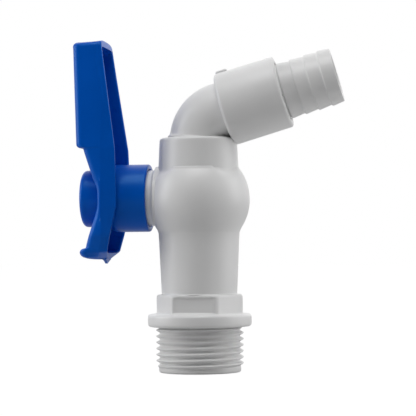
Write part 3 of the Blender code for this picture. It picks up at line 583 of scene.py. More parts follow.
def close_tree(tree, geometry, given):
    """Ends a tree in Realize Instances and Set Material."""
    real = tree.nodes.new("GeometryNodeRealizeInstances")
    finished = tree.nodes.new("GeometryNodeSetMaterial")
    tree.links.new(geometry, real.inputs["Geometry"])
    tree.links.new(real.outputs["Geometry"], finished.inputs["Geometry"])
    tree.links.new(given["Material"], finished.inputs["Material"])
    tree.links.new(finished.outputs["Geometry"], tree.nodes.new("NodeGroupOutput").inputs["Geometry"])


def moved_points(tree, given, x, y, z):
    """Puts every point where the three values say, and closes the tree."""
    there = tree.nodes.new("ShaderNodeCombineXYZ")
    mover = tree.nodes.new("GeometryNodeSetPosition")
    for value, axis in ((x, "X"), (y, "Y"), (z, "Z")):
        tree.links.new(value, there.inputs[axis])
    tree.links.new(there.outputs["Vector"], mover.inputs["Position"])
    tree.links.new(given["Geometry"], mover.inputs["Geometry"])
    close_tree(tree, mover.outputs["Geometry"], given)


def shaped(obj, tree, material, sharp=SHARP_ANGLE):
    """Runs a tree on the object and keeps the result as its plain mesh."""
    modifier = obj.modifiers.new(tree.name, "NODES")
    modifier.node_group = tree
    for item in tree.interface.items_tree:
        if item.in_out == "INPUT" and item.name == "Material":
            modifier[item.identifier] = material
    keep_result(obj, result_of(obj), sharp)


def thread_tree():
    """Swells the plain end into a right-handed screw thread that grows from nothing and runs out."""
    tree, given, at = shape_tree(
        "inlet_thread", Pitch=THREAD_PITCH, Crest=THREAD_CREST_HEIGHT, Root=THREAD_ROOT_RADIUS,
        Depth=THREAD_CREST_RADIUS - THREAD_ROOT_RADIUS, Sharpness=THREAD_SHARPNESS,
    )
    rise = worked_out(tree, "DIVIDE", worked_out(tree, "SUBTRACT", at["Z"], given["Crest"]), given["Pitch"])
    around = worked_out(tree, "DIVIDE", worked_out(tree, "ARCTAN2", at["Y"], at["X"]), math.tau)
    phase = worked_out(tree, "MULTIPLY", worked_out(tree, "SUBTRACT", rise, around), math.tau)
    wave = worked_out(tree, "MULTIPLY_ADD", worked_out(tree, "COSINE", phase), 0.5, 0.5)
    ridge = worked_out(tree, "POWER", wave, given["Sharpness"])
    grown = ridge
    for low, high, first, last in ((THREAD_START, THREAD_FULL, 0, 1), (THREAD_RUNOUT, THREAD_LENGTH, 1, 0)):
        fade = tree.nodes.new("ShaderNodeMapRange")
        fade.interpolation_type = "SMOOTHSTEP"
        set_inputs(fade, {"From Min": low, "From Max": high, "To Min": first, "To Max": last})
        tree.links.new(at["Z"], fade.inputs["Value"])
        grown = worked_out(tree, "MULTIPLY", grown, fade.outputs["Result"])
    swell = worked_out(tree, "DIVIDE", worked_out(tree, "MULTIPLY", grown, given["Depth"]), given["Root"])
    swell = worked_out(tree, "ADD", swell, 1.0)
    x = worked_out(tree, "MULTIPLY", at["X"], swell)
    y = worked_out(tree, "MULTIPLY", at["Y"], swell)
    moved_points(tree, given, x, y, at["Z"])
    return tree


def bend_tree():
    """Lays a straight moulding, whose height is the distance along the spout, on its bent centre line."""
    tree, given, at = shape_tree(
        "spout_bend", Radius=SPOUT_BEND_RADIUS, Turn=BEND_TURN, Height=SPOUT_BEND_HEIGHT,
    )
    turn = worked_out(tree, "DIVIDE", at["Z"], given["Radius"])
    turn = worked_out(tree, "MAXIMUM", worked_out(tree, "MINIMUM", turn, given["Turn"]), 0.0)
    past = worked_out(tree, "SUBTRACT", at["Z"], worked_out(tree, "MULTIPLY", turn, given["Radius"]))
    out = worked_out(tree, "SUBTRACT", at["X"], given["Radius"])
    cosine = worked_out(tree, "COSINE", turn)
    sine = worked_out(tree, "SINE", turn)
    x = worked_out(tree, "MULTIPLY_ADD", cosine, out, worked_out(tree, "MULTIPLY", sine, past))
    along, across = worked_out(tree, "MULTIPLY", cosine, past), worked_out(tree, "MULTIPLY", sine, out)
    z = worked_out(tree, "SUBTRACT", along, across)
    x = worked_out(tree, "ADD", x, given["Radius"])
    z = worked_out(tree, "ADD", z, given["Height"])
    moved_points(tree, given, x, at["Y"], z)
    return tree


def barb_tree():
    """Repeats one barb up the nipple."""
    tree, given, _ = shape_tree("nipple_barbs", Barbs=NIPPLE_BARBS, Pitch=BARB_PITCH)
    row = tree.nodes.new("GeometryNodeMeshLine")
    step = tree.nodes.new("ShaderNodeCombineXYZ")
    repeat = tree.nodes.new("GeometryNodeInstanceOnPoints")
    tree.links.new(given["Barbs"], row.inputs["Count"])
    tree.links.new(given["Pitch"], step.inputs["Z"])
    tree.links.new(step.outputs["Vector"], row.inputs["Offset"])
    tree.links.new(row.outputs["Mesh"], repeat.inputs["Points"])
    tree.links.new(given["Geometry"], repeat.inputs["Instance"])
    close_tree(tree, repeat.outputs["Instances"], given)
    return tree


# The body

def root_radius(height, turn):
    """The thread's root, with a plain lead-in at the end."""
    share = ramp(THREAD_LEAD, THREAD_FULL, height)
    return THREAD_LEAD_RADIUS + (THREAD_ROOT_RADIUS - THREAD_LEAD_RADIUS) * share


def hexagon_radius(height, turn):
    sixth = math.tau / 6
    flat = HEX_APOTHEM / math.cos(turn % sixth - sixth / 2)
    over = max(height - (HEX_TOP - HEX_ROUNDING), 0)
    drop = HEX_ROUNDING - math.sqrt(max(HEX_ROUNDING**2 - over**2, 0))
    radius = soft_least(flat - drop * HEX_FLAT_SHARE, HEX_CORNER_RADIUS - drop, HEX_CORNER_BLEND)
    across = radius * math.cos(turn)
    if math.sin(turn) < 0 and abs(across) < PANEL_HALF_WIDTH + PANEL_EDGE:
        inside = 1 - ramp(PANEL_HALF_WIDTH - PANEL_EDGE, PANEL_HALF_WIDTH, abs(across))
        inside *= ramp(PANEL_LOW, PANEL_LOW + PANEL_EDGE, height)
        inside *= 1 - ramp(PANEL_HIGH - PANEL_EDGE, PANEL_HIGH, height)
        radius -= PANEL_DEPTH * inside
    return radius


def facet_radius(height, turn):
    """The four sloping facets cut into the chamber's shoulder, which end flush with the collar."""
    nearest = min(abs(math.remainder(turn - middle, math.tau)) for middle in (
        FACET_TURN, math.pi - FACET_TURN, FACET_TURN - math.pi, -FACET_TURN))
    reach = FACET_FOOT_RADIUS - FACET_SLOPE * (height - FACET_FOOT)
    return max(reach / math.cos(min(nearest, FACET_SPAN)), COLLAR_FOOT_RADIUS)


def shoulder_radius(height, turn):
    """Barrel and ball chamber, with the facets on the chamber's shoulder."""
    share = (height - HEX_TOP) / (CHAMBER_HEIGHT - HEX_TOP)
    barrel = BARREL_FOOT_RADIUS + (BARREL_HEAD_RADIUS - BARREL_FOOT_RADIUS) * min(share * BARREL_TAPER, 1)
    if height > CHAMBER_HEIGHT:
        barrel = 0
    off = height - CHAMBER_HEIGHT
    ball = math.sqrt(max(CHAMBER_RADIUS**2 - off**2, 0))
    radius = soft_most(barrel, ball, BODY_BLEND)
    if height > CHAMBER_HEIGHT:
        radius = soft_least(radius, facet_radius(height, turn), FACET_BLEND)
    return radius


def ledge_radius(drawn_in):
    """The shoulder's rim, drawn in by its rounding."""
    return lambda height, turn: shoulder_radius(LEDGE_HEIGHT - LEDGE_ROUNDING, turn) - drawn_in


def plain(points):
    """Stations whose radius is the same all round."""
    return [(height, lambda _, turn, radius=radius: radius) for height, radius in points]


def radial(bm, stations):
    """Stations of (height, radius for a turn) joined about the flow's axis, as a closed loop."""
    rows = []
    for height, radius_of in stations:
        row = []
        for turn in turns(BODY_SIDES):
            radius = radius_of(height, turn)
            row.append((radius * math.cos(turn), radius * math.sin(turn), height))
        rows.append(row)
    bridged(bm, rows)


def body_stations():
    """The body's stations, from the bore's mouth up the outside and down inside."""
    stations = plain([(END_ROUNDING, INLET_BORE_RADIUS), (0, INLET_BORE_RADIUS + END_ROUNDING)])
    edge = THREAD_LEAD_RADIUS - END_ROUNDING
    stations += plain(arc(END_ROUNDING, edge, END_ROUNDING, 180, 90, ARC_STEPS))
    count = round((THREAD_LENGTH - END_ROUNDING) / THREAD_ROW)
    for height in spread(END_ROUNDING + THREAD_ROW, THREAD_LENGTH, count):
        stations.append((height, root_radius))
    rim = FLANGE_RADIUS - FLANGE_ROUNDING
    stations += plain(arc(THREAD_LENGTH + FLANGE_ROUNDING, rim, FLANGE_ROUNDING, 180, 90, ARC_STEPS))
    stations += plain(arc(FLANGE_TOP - FLANGE_ROUNDING, rim, FLANGE_ROUNDING, 90, 0, ARC_STEPS))
    stations.append((FLANGE_TOP, lambda height, turn: hexagon_radius(height, turn) + GAP))
    for height in spread(FLANGE_TOP + GAP, HEX_TOP - HEX_ROUNDING, HEX_STEPS):
        stations.append((height, hexagon_radius))
    for turn in quarter_turn()[1:]:
        stations.append((HEX_TOP - HEX_ROUNDING + HEX_ROUNDING * math.sin(turn), hexagon_radius))
    stations += plain(arc(HEX_TOP + GAP, BARREL_FOOT_RADIUS + GAP, GAP, 180, 270, SMALL_ARC_STEPS))
    sphere_foot = CHAMBER_HEIGHT - math.sqrt(CHAMBER_RADIUS**2 - BARREL_HEAD_RADIUS**2)
    for height in spread(HEX_TOP + GAP + GAP, sphere_foot - BODY_BLEND, BARREL_STEPS):
        stations.append((height, shoulder_radius))
    start = math.acos((sphere_foot - BODY_BLEND / 2 - CHAMBER_HEIGHT) / CHAMBER_RADIUS)
    end = math.acos((LEDGE_HEIGHT - LEDGE_ROUNDING - CHAMBER_HEIGHT) / CHAMBER_RADIUS)
    for turn in spread(start, end, SPHERE_STEPS):
        stations.append((CHAMBER_HEIGHT + CHAMBER_RADIUS * math.cos(turn), shoulder_radius))
    for turn in quarter_turn()[1:]:
        drawn_in = LEDGE_ROUNDING * (1 - math.cos(turn)) * LEDGE_DRAW_IN
        stations.append((LEDGE_HEIGHT - LEDGE_ROUNDING * (1 - math.sin(turn)), ledge_radius(drawn_in)))
    return stations + plain([
        (LEDGE_HEIGHT, NECK_RADIUS), (NECK_TOP, NECK_RADIUS), (NECK_TOP, POCKET_RADIUS),
        (SEAT_SHELF, POCKET_RADIUS), (SEAT_SHELF, INLET_PORT_RADIUS),
        (INLET_THROAT_LENGTH, INLET_PORT_RADIUS), (INLET_BORE_LENGTH, INLET_BORE_RADIUS),
    ])


def stem_matrix():
    return Matrix.Translation((0, 0, STEM_HEIGHT)) @ Matrix.Rotation(math.radians(-90), 4, "Y")


def turned_on_stem(profile, sides):
    """(along, radius) points turned about the stem's axis, and closed at both ends."""
    bm = bmesh.new()
    closed = [(profile[0][0], AXIS_RADIUS), *profile, (profile[-1][0], AXIS_RADIUS)]
    turned(bm, closed, sides, stem_matrix(), ends=True)
    return bm


def ring_stretch(start, end, steps, inner, outer, low, high):
    """A stretch of a square-edged ring about the stem's axis, from one angle to another."""
    bm = bmesh.new()
    rows = []
    for turn in spread(start, end, steps):
        corners = []
        for radius, along in ((inner, low), (outer, low), (outer, high), (inner, high)):
            corners.append((radius * math.cos(turn), radius * math.sin(turn), along))
        rows.append(place(corners, stem_matrix()))
    bridged(bm, rows, ends=True)
    return bm


def make_body(material):
    bm = bmesh.new()
    radial(bm, body_stations())
    body = as_object("body_moulding", bm, material, BODY_SHARP_ANGLE)
    shaped(body, thread_tree(), material, BODY_SHARP_ANGLE)

    root = BOSS_RADIUS + BOSS_FLARE
    edge = BOSS_ROUNDING
    boss = [(POCKET_RADIUS + GAP, root), *arc(BOSS_FLARE_END, root, BOSS_FLARE, 180, 270, FLARE_STEPS)]
    boss += arc(BOSS_REACH - edge, BOSS_RADIUS - edge, edge, 90, 0, SMALL_ARC_STEPS)
    carve(body, turned_on_stem(boss, HUB_SIDES), "UNION", BODY_SHARP_ANGLE)
    stop = ring_stretch(
        -STOP_SPAN / 2, STOP_SPAN / 2, STOP_STEPS, STOP_INNER_RADIUS, STOP_OUTER_RADIUS,
        BOSS_REACH - OVERRUN, BOSS_REACH + STOP_HEIGHT,
    )
    carve(body, stop, "UNION", BODY_SHARP_ANGLE)
    bore = [
        (STEM_BORE_START, SPOT_FACE_RADIUS), (SPOT_FACE, SPOT_FACE_RADIUS), (SPOT_FACE, STEM_BORE_RADIUS),
        (BOSS_REACH + OVERRUN, STEM_BORE_RADIUS),
    ]
    carve(body, turned_on_stem(bore, STEM_BORE_SIDES), sharp=BODY_SHARP_ANGLE)
    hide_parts("valve_body")
    return body


# The spout and the nipple

def spout_frame(distance):
    """The frame on the spout's centre line, at a distance past the start of its bend."""
    turn = min(max(distance / SPOUT_BEND_RADIUS, 0), BEND_TURN)
    centre = Matrix.Translation((SPOUT_BEND_RADIUS, 0, SPOUT_BEND_HEIGHT))
    out = Matrix.Translation((-SPOUT_BEND_RADIUS, 0, distance - turn * SPOUT_BEND_RADIUS))
    return centre @ Matrix.Rotation(turn, 4, "Y") @ out


def collar_radius(height, turn):
    share = (height - COLLAR_FOOT) / (COLLAR_TOP - COLLAR_FOOT)
    radius = COLLAR_FOOT_RADIUS + (COLLAR_HEAD_RADIUS - COLLAR_FOOT_RADIUS) * share
    over = max(height - (COLLAR_TOP - COLLAR_ROUNDING), 0)
    return radius - (COLLAR_ROUNDING - math.sqrt(max(COLLAR_ROUNDING**2 - over**2, 0)))


def add_collar(spout):
    """The cup over the body's neck, as a shell of its own that the spout rises from."""
    bm = shells_of(spout)
    stations = []
    for height in spread(COLLAR_FOOT, COLLAR_TOP - COLLAR_ROUNDING, COLLAR_STEPS):
        stations.append((height, collar_radius))
    for turn in quarter_turn()[1:]:
        stations.append((COLLAR_TOP - COLLAR_ROUNDING + COLLAR_ROUNDING * math.sin(turn), collar_radius))
    inner = (SPOUT_RADIUS + SPOUT_BORE_RADIUS) / 2
    stations += plain([
        (COLLAR_TOP, inner), (CUP_ROOF, inner), (CUP_ROOF, CUP_RADIUS), (COLLAR_FOOT, CUP_RADIUS),
    ])
    radial(bm, stations)
    renewed(spout, bm)


def rounded_box(bm, low, high, rounding, matrix):
    """A box whose upright and front edges are rounded, made of stacked rounded outlines."""
    low = Vector(low)
    high = Vector(high)
    rows = []
    levels = [(0.0, 0.0)]
    for turn in quarter_turn():
        share = 1 - (1 - math.sin(turn)) * rounding / (high.x - low.x)
        levels.append((share, rounding * (1 - math.cos(turn))))
    for share, inset in levels:
        row = []
        for across, along, quarter in ((1, 1, 0), (-1, 1, 1), (-1, -1, 2), (1, -1, 3)):
            half_across = (high.y - low.y) / 2 - inset - rounding
            half_along = (high.z - low.z) / 2 - inset - rounding
            for step in range(ARC_STEPS):
                turn = math.radians(90 * (quarter + step / (ARC_STEPS - 1)))
                row.append((
                    low.x + (high.x - low.x) * share,
                    (low.y + high.y) / 2 + across * half_across + rounding * math.cos(turn),
                    (low.z + high.z) / 2 + along * half_along + rounding * math.sin(turn),
                ))
        rows.append(place(row, matrix))
    bridged(bm, rows, ends=True)


def make_spout(material):
    bm = bmesh.new()
    roof = CUP_ROOF - SPOUT_BEND_HEIGHT
    foot = COLLAR_TOP - SPOUT_BEND_HEIGHT
    flare_radius = SPOUT_RADIUS + SPOUT_FOOT_FLARE
    outline = [(roof, SPOUT_BORE_RADIUS), (roof, SPOUT_RADIUS), (foot - GAP, flare_radius)]
    outline += arc(foot + SPOUT_FOOT_FLARE, flare_radius, SPOUT_FOOT_FLARE, 180, 270, ARC_STEPS)
    for distance in spread(foot + 2 * SPOUT_FOOT_FLARE, BEND_LENGTH, BEND_STEPS):
        outline.append((distance, SPOUT_RADIUS))
    outline += arc(SOCKET_FOOT - GAP, SPOUT_RADIUS + GAP, GAP, -90, 0, SMALL_ARC_STEPS)
    rear, mouth = SOCKET_REAR_ROUNDING, SOCKET_ROUNDING
    outline += arc(SOCKET_FOOT + rear, SOCKET_REAR_RADIUS - rear, rear, 180, 90, ARC_STEPS)
    outline += arc(SOCKET_MOUTH - mouth, SOCKET_MOUTH_RADIUS - mouth, mouth, 90, 0, ARC_STEPS)
    outline += [
        (SOCKET_MOUTH, SOCKET_BORE_RADIUS + GAP), (SOCKET_MOUTH - GAP, SOCKET_BORE_RADIUS),
        (SOCKET_MOUTH - SOCKET_DEPTH, SOCKET_BORE_RADIUS), (SOCKET_MOUTH - SOCKET_DEPTH, SPOUT_BORE_RADIUS),
    ]
    outline += [(distance, SPOUT_BORE_RADIUS) for distance in spread(BEND_LENGTH, 0, BEND_STEPS // 2)]
    turned(bm, outline, SPOUT_SIDES, Matrix())
    low = (SOCKET_REAR_RADIUS - NUB_ROOT, -NUB_WIDTH / 2, SOCKET_FOOT + NUB_INSET)
    high = (SOCKET_REAR_RADIUS + NUB_HEIGHT, NUB_WIDTH / 2, SOCKET_FOOT + NUB_INSET + NUB_LENGTH)
    rounded_box(bm, low, high, NUB_ROUNDING, Matrix.Rotation(math.pi, 4, "Z"))
    spout = as_object("spout_moulding", bm, material)
    shaped(spout, bend_tree(), material)
    add_collar(spout)
    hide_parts("spout_elbow")
    return spout


def make_nipple(material):
    barb = bmesh.new()
    start = BARB_SHOULDER / 4
    rounding = BARB_ROUNDING
    crest = arc(BARB_SHOULDER + rounding, BARB_CREST_RADIUS - rounding, rounding, *BARB_ARC, ARC_STEPS)
    turned(barb, [
        (start, BARB_ROOT_RADIUS - BARB_ROOT), (start, BARB_ROOT_RADIUS), *crest,
        (BARB_PITCH, BARB_ROOT_RADIUS), (BARB_PITCH, BARB_ROOT_RADIUS - BARB_ROOT),
    ], SPOUT_SIDES, Matrix())
    nipple = as_object("ribbed_nipple", barb, material, NIPPLE_SHARP_ANGLE)
    shaped(nipple, barb_tree(), material, NIPPLE_SHARP_ANGLE)

    bm = shells_of(nipple)
    end = NIPPLE_BARBS * BARB_PITCH
    turned(bm, [
        (NIPPLE_FOOT, NIPPLE_BORE_RADIUS), (NIPPLE_FOOT, NIPPLE_SPIGOT_RADIUS - GAP),
        (NIPPLE_FOOT + GAP, NIPPLE_SPIGOT_RADIUS), (-GAP, NIPPLE_SPIGOT_RADIUS), (0, BARB_ROOT_RADIUS),
        *arc(end - NOSE_ROUNDING, BARB_ROOT_RADIUS - NOSE_ROUNDING, NOSE_ROUNDING, 90, 0, ARC_STEPS),
        (end, NIPPLE_BORE_RADIUS + GAP), (end - GAP, NIPPLE_BORE_RADIUS),
    ], SPOUT_SIDES, Matrix())
    bm.transform(spout_frame(SOCKET_MOUTH))
    renewed(nipple, bm, NIPPLE_SHARP_ANGLE)
    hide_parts("hose_nipple")
    return nipple


# The lever: tables of (height, value) from the tip down, and its making

REAR_TABLE = [
    (LEVER_TIP_HEIGHT, LEVER_TIP_REAR), (GRIP_FOOT_HEIGHT, GRIP_FOOT_REAR),
    (VALLEY_HALF_HEIGHT, VALLEY_REAR), (-VALLEY_HALF_HEIGHT, VALLEY_REAR),
    (TAIL_CUT_HEIGHT, TAIL_CUT_REAR), (TAIL_HEIGHT, TAIL_REAR),
]
HALF_WIDTH_TABLE = [
    (LEVER_TIP_HEIGHT, LEVER_TIP_HALF_WIDTH), (GRIP_FOOT_HEIGHT, GRIP_FOOT_HALF_WIDTH),
    (VALLEY_HALF_HEIGHT, VALLEY_HALF_WIDTH), (-VALLEY_HALF_HEIGHT, VALLEY_HALF_WIDTH),
    (TAIL_SHOULDER_HEIGHT, TAIL_SHOULDER_HALF_WIDTH), (TAIL_CUT_HEIGHT, TAIL_CUT_HALF_WIDTH),
    (TAIL_HEIGHT, TAIL_HALF_WIDTH),
]
FRONT_HALF_WIDTH_TABLE = HALF_WIDTH_TABLE[:-1] + [(TAIL_HEIGHT, TAIL_FRONT_HALF_WIDTH)]
SLOPES = [
    (SLOPE_FOOT_HEIGHT, SLOPE_FOOT_FRONT), (VALLEY_HALF_HEIGHT, VALLEY_FRONT),
    (-VALLEY_HALF_HEIGHT, VALLEY_FRONT), (TAIL_SLOPE_HEIGHT, TAIL_SLOPE_FRONT),
]
INNER_FRONT_TABLE = [
    (LEVER_TIP_HEIGHT, LEVER_TIP_FRONT), (GRIP_FOOT_HEIGHT + LEVER_WALL, GRIP_FOOT_FRONT),
    (GRIP_FOOT_HEIGHT + LEVER_WALL - LIP_DRAFT, SLOPE_HEAD_FRONT), *SLOPES, (TAIL_HEIGHT, TAIL_SLOPE_FRONT),
]
HOLLOW_TOP = LEVER_TIP_HEIGHT - LEVER_END_WALL
HOLLOW_FOOT = TAIL_HEIGHT + LEVER_END_WALL


def lever_stations():
    """(height, front, inset at the ends) for each row of the lever."""
    stations = []
    for turn in quarter_turn():
        height = LEVER_TIP_HEIGHT - LEVER_TIP_ROUNDING * (1 - math.cos(turn))
        stations.append((height, LEVER_TIP_FRONT, LEVER_TIP_ROUNDING * (1 - math.sin(turn))))
    foot = GRIP_FOOT_HEIGHT + LIP_RADIUS
    fronts = [(LEVER_TIP_HEIGHT, LEVER_TIP_FRONT), (foot, GRIP_FOOT_FRONT)]
    heights = [HOLLOW_TOP - share * LEVER_END_WALL / 2 for share in HOLLOW_SHARES]
    heights += spread(HOLLOW_TOP - LEVER_END_WALL, foot + LIP_STEP, GRIP_STEPS)
    stations += [(height, at_height(fronts, height), 0) for height in heights]
    for height, front in arc(foot, GRIP_FOOT_FRONT - LIP_RADIUS, LIP_RADIUS, 90, 180, LIP_STEPS):
        stations.append((height, front, 0))
    stations.append((GRIP_FOOT_HEIGHT - LIP_DRAFT / 4, SLOPE_HEAD_FRONT + LIP_DRAFT, 0))
    stations.append((GRIP_FOOT_HEIGHT - LIP_DRAFT, SLOPE_HEAD_FRONT, 0))
    # Each corner of the side view below the grip is eased over a short stretch
    table = [(GRIP_FOOT_HEIGHT - LIP_DRAFT, SLOPE_HEAD_FRONT)] + SLOPES
    for height in spread(GRIP_FOOT_HEIGHT - 3 * LIP_DRAFT, TAIL_SLOPE_HEIGHT + LIP_DRAFT, SLOPE_STEPS):
        near = [at_height(table, min(height + SLOPE_EASE * share, table[0][0])) for share in EASE_SHARES]
        stations.append((height, sum(near) / len(near), 0))
    stations.append((TAIL_SLOPE_HEIGHT, TAIL_SLOPE_FRONT, 0))
    for height, front in arc(BEAD_HEIGHT, BEAD_FRONT, BEAD_RADIUS, *BEAD_ARC, BEAD_STEPS):
        stations.append((height, front, 0))
    bead_foot = BEAD_HEIGHT - BEAD_RADIUS
    for turn in quarter_turn()[1:]:
        front = TAIL_FRONT + (BEAD_FRONT - TAIL_FRONT) * math.cos(turn)
        stations.append((bead_foot + (TAIL_HEIGHT - bead_foot) * math.sin(turn), front, 0))
    return sorted(set(stations), reverse=True)


def hollow_share(height):
    """From 0 in the solid ends to 1 where the lever is hollow, with a rounded start."""
    from_top = (HOLLOW_TOP - height) / (LEVER_END_WALL / 2)
    from_foot = (height - HOLLOW_FOOT) / (LEVER_END_WALL / 2)
    share = min(max(min(from_top, from_foot), 0), 1)
    return math.sqrt(1 - (1 - share) ** 2)


def lever_half(height, front, inset):
    """Outer points (out, across) of one side, from the open rear edge to the middle of the front."""
    rear = at_height(REAR_TABLE, height) + inset * TIP_REAR_SHARE
    half = at_height(HALF_WIDTH_TABLE, height) - inset
    front_half = at_height(FRONT_HALF_WIDTH_TABLE, height) - inset
    front -= inset
    rim = rear + LEVER_RIM_WALL / 2
    parting = min(max(PARTING_FRONT, rear + LEVER_EDGE_RADIUS), front - LEVER_EDGE_RADIUS / 2)
    corner = min(LEVER_EDGE_RADIUS, front - parting)
    side_front = half - FRONT_DRAFT
    points = [
        (rim, half - REAR_DRAFT), ((rim + parting) / 2, half - REAR_DRAFT / 2),
        (parting - PARTING_HALF_STEP, half - REAR_DRAFT * PARTING_DRAFT_SHARE),
        (parting + PARTING_HALF_STEP, half - FRONT_DRAFT * PARTING_DRAFT_SHARE),
    ]
    edge = arc(side_front - corner, front - corner, corner, 0, 90, EDGE_STEPS)
    points += [(out, across) for across, out in edge]
    points += [(front, (side_front - corner) * share) for share in FRONT_SHARES]
    # Below the cut the tail stays wide at the front and narrows to the rear
    widened = []
    for out, across in points:
        share = min(max((out - rear) / TAIL_FLARE_REACH, 0), 1)
        widened.append((out, across * (1 + (front_half / half - 1) * share)))
    return rear, half, widened


def tip_lift(height, out, share_across):
    """The tip's end is crowned across, and rises a little from its front to its open side."""
    slope = TIP_SLOPE * (LEVER_TIP_FRONT - out) / (LEVER_TIP_FRONT - LEVER_TIP_REAR)
    crown = TIP_CROWN * (1 - share_across**4)
    return (slope + crown - TIP_DROP) * ramp(LEVER_TIP_HEIGHT - TIP_LENGTH, LEVER_TIP_HEIGHT, height)


def lever_back(height, front, rear, half):
    """Points of one side from the rim to the middle of the back: of the hollow, and of a solid end."""
    rim = LEVER_RIM_WALL / 2
    wall_middle = half - REAR_DRAFT - rim
    hollow = []
    for angle in RIM_TURNS:
        turn = math.radians(angle)
        hollow.append((rear + rim - rim * math.sin(turn), wall_middle + rim * math.cos(turn)))
    inner_front = min(at_height(INNER_FRONT_TABLE, height), front) - LEVER_WALL
    inner_half = half - REAR_DRAFT - LEVER_RIM_WALL
    side, base = inner_half - LEVER_INNER_RADIUS, inner_front - LEVER_INNER_RADIUS
    hollow.append(((rear + inner_front) / 2, inner_half))
    hollow += [(out, across) for across, out in arc(side, base, LEVER_INNER_RADIUS, 0, 90, ARC_STEPS)]
    hollow += [(inner_front, side / 2), (inner_front, 0.0)]
    # The outer half of the rim goes on round the solid ends, and the rest turns flat there
    count = len(hollow) - RIM_KEPT
    flat = hollow[:RIM_KEPT] + [(rear, wall_middle * (1 - step / count)) for step in range(1, count + 1)]
    return hollow, flat


def lever_row(height, front, inset):
    """One closed outline of the lever at a height: the outside, and the hollow or the flat back."""
    rear, half, outer = lever_half(height, front, inset)
    depth = hollow_share(height)
    back = []
    for (out, across), (flat_out, flat_across) in zip(*lever_back(height, front, rear, half)):
        back.append((flat_out + (out - flat_out) * depth, flat_across + (across - flat_across) * depth))
    outline = [(out, -across) for out, across in outer]
    outline += reversed(outer[:-1])
    outline += back + [(out, -across) for out, across in reversed(back[:-1])]
    return [(height + tip_lift(height, out, across / half), across, out) for out, across in outline]


def add_tail_point(lever):
    """The rim under the tail's open side, drawn down to a shallow point off its middle."""
    bm = shells_of(lever)
    root = TAIL_HEIGHT + LEVER_END_WALL / 2
    side = POINT_HALF_WIDTH
    rows = []
    for out, drop in ((0, POINT_DROP), (POINT_THICKNESS / 2, POINT_DROP), (POINT_THICKNESS, GAP)):
        out += TAIL_REAR
        corners = [
            (root, -side, out), (TAIL_HEIGHT, -side, out), (TAIL_HEIGHT - drop, -POINT_OFFSET, out),
            (TAIL_HEIGHT, side, out), (root, side, out),
        ]
        rows.append(place(corners, stem_matrix()))
    bridged(bm, rows, ends=True)
    renewed(lever, bm, LEVER_SHARP_ANGLE)


def hub_steps():
    """Each shape that is joined to the lever or cut out of it at the hub, in turn."""
    skirt_edge = SKIRT_RADIUS - SKIRT_ROUNDING
    hub = [
        (HUB_FLOOR, SKIRT_BORE_RADIUS), (SKIRT_END + GAP, SKIRT_BORE_RADIUS),
        (SKIRT_END, SKIRT_BORE_RADIUS + GAP),
        *arc(SKIRT_END + SKIRT_ROUNDING, skirt_edge, SKIRT_ROUNDING, 180, 90, ARC_STEPS),
        *arc(HUB_DRAW_IN, SKIRT_RADIUS - HUB_ROUNDING, HUB_ROUNDING, *HUB_ARC, ARC_STEPS),
    ]
    hub.append((CAP_SEAT - GAP, hub[-1][1]))
    yield "UNION", turned_on_stem(hub, HUB_SIDES)
    seat = [(CAP_SEAT, CAP_RADIUS + GAP), (CAP_FRONT + OVERRUN, CAP_RADIUS + GAP)]
    yield "DIFFERENCE", turned_on_stem(seat, HUB_SIDES)
    boss = [(CAP_SEAT - OVERRUN / 2, FRONT_BOSS_RADIUS), (FRONT_BOSS_END, FRONT_BOSS_RADIUS)]
    yield "UNION", turned_on_stem(boss, FRONT_BOSS_SIDES)
    recess = [
        (SOCKET_END - OVERRUN, SCREW_HOLE_RADIUS), (SCREW_SEAT, SCREW_HOLE_RADIUS),
        (SCREW_SEAT, SCREW_RECESS_RADIUS), (CAP_FRONT, SCREW_RECESS_RADIUS),
    ]
    yield "DIFFERENCE", turned_on_stem(recess, RECESS_SIDES)
    drive = bmesh.new()
    half = DRIVE_HALF_WIDTH
    rows = []
    for along in (HUB_FLOOR - OVERRUN, SOCKET_END):
        corners = [(half, half, along), (-half, half, along), (-half, -half, along), (half, -half, along)]
        rows.append(place(corners, stem_matrix()))
    bridged(drive, rows, ends=True)
    yield "DIFFERENCE", drive
    yield "DIFFERENCE", ring_stretch(
        GROOVE_START, GROOVE_END, GROOVE_STEPS, STOP_INNER_RADIUS - GAP, STOP_OUTER_RADIUS + GAP,
        HUB_FLOOR - OVERRUN, BOSS_REACH + STOP_HEIGHT + GAP,
    )


def make_lever(material):
    bm = bmesh.new()
    rows = [place(lever_row(*station), stem_matrix()) for station in lever_stations()]
    bridged(bm, rows, ends=True)
    lever = as_object("lever_moulding", bm, material, LEVER_SHARP_ANGLE)
    for operation, shape in hub_steps():
        carve(lever, shape, operation, LEVER_SHARP_ANGLE)
    add_tail_point(lever)
    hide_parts("handle")
    return lever


def make_cap(material):
    inner = FRONT_BOSS_RADIUS + GAP
    foot = CAP_SEAT + GAP
    edge = GAP / 3
    profile = [(CAP_FLOOR, inner), (foot, inner), (foot, CAP_RADIUS - edge), (foot + edge, CAP_RADIUS)]
    face = CAP_RADIUS - CAP_ROUNDING
    profile += arc(CAP_FRONT - CAP_ROUNDING, face, CAP_ROUNDING, *CAP_ARC, CAP_STEPS)
    profile += [(CAP_FRONT, face * share) for share in CAP_FACE_SHARES]
    cap = as_object("round_cap", turned_on_stem(profile, HUB_SIDES), material)
    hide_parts("handle_cap")
    return cap


# Studio

def area_light(name, where, size, power):
    data = bpy.data.lights.new(name, "AREA")
    data.shape = "RECTANGLE"
    data.size, data.size_y = size
    data.energy = power
    light = bpy.data.objects.new(name, data)
    light.location = where
    light.rotation_euler = (Vector(SOFTBOX_AIM) - Vector(where)).to_track_quat("-Z", "Y").to_euler()
    bpy.context.scene.collection.objects.link(light)


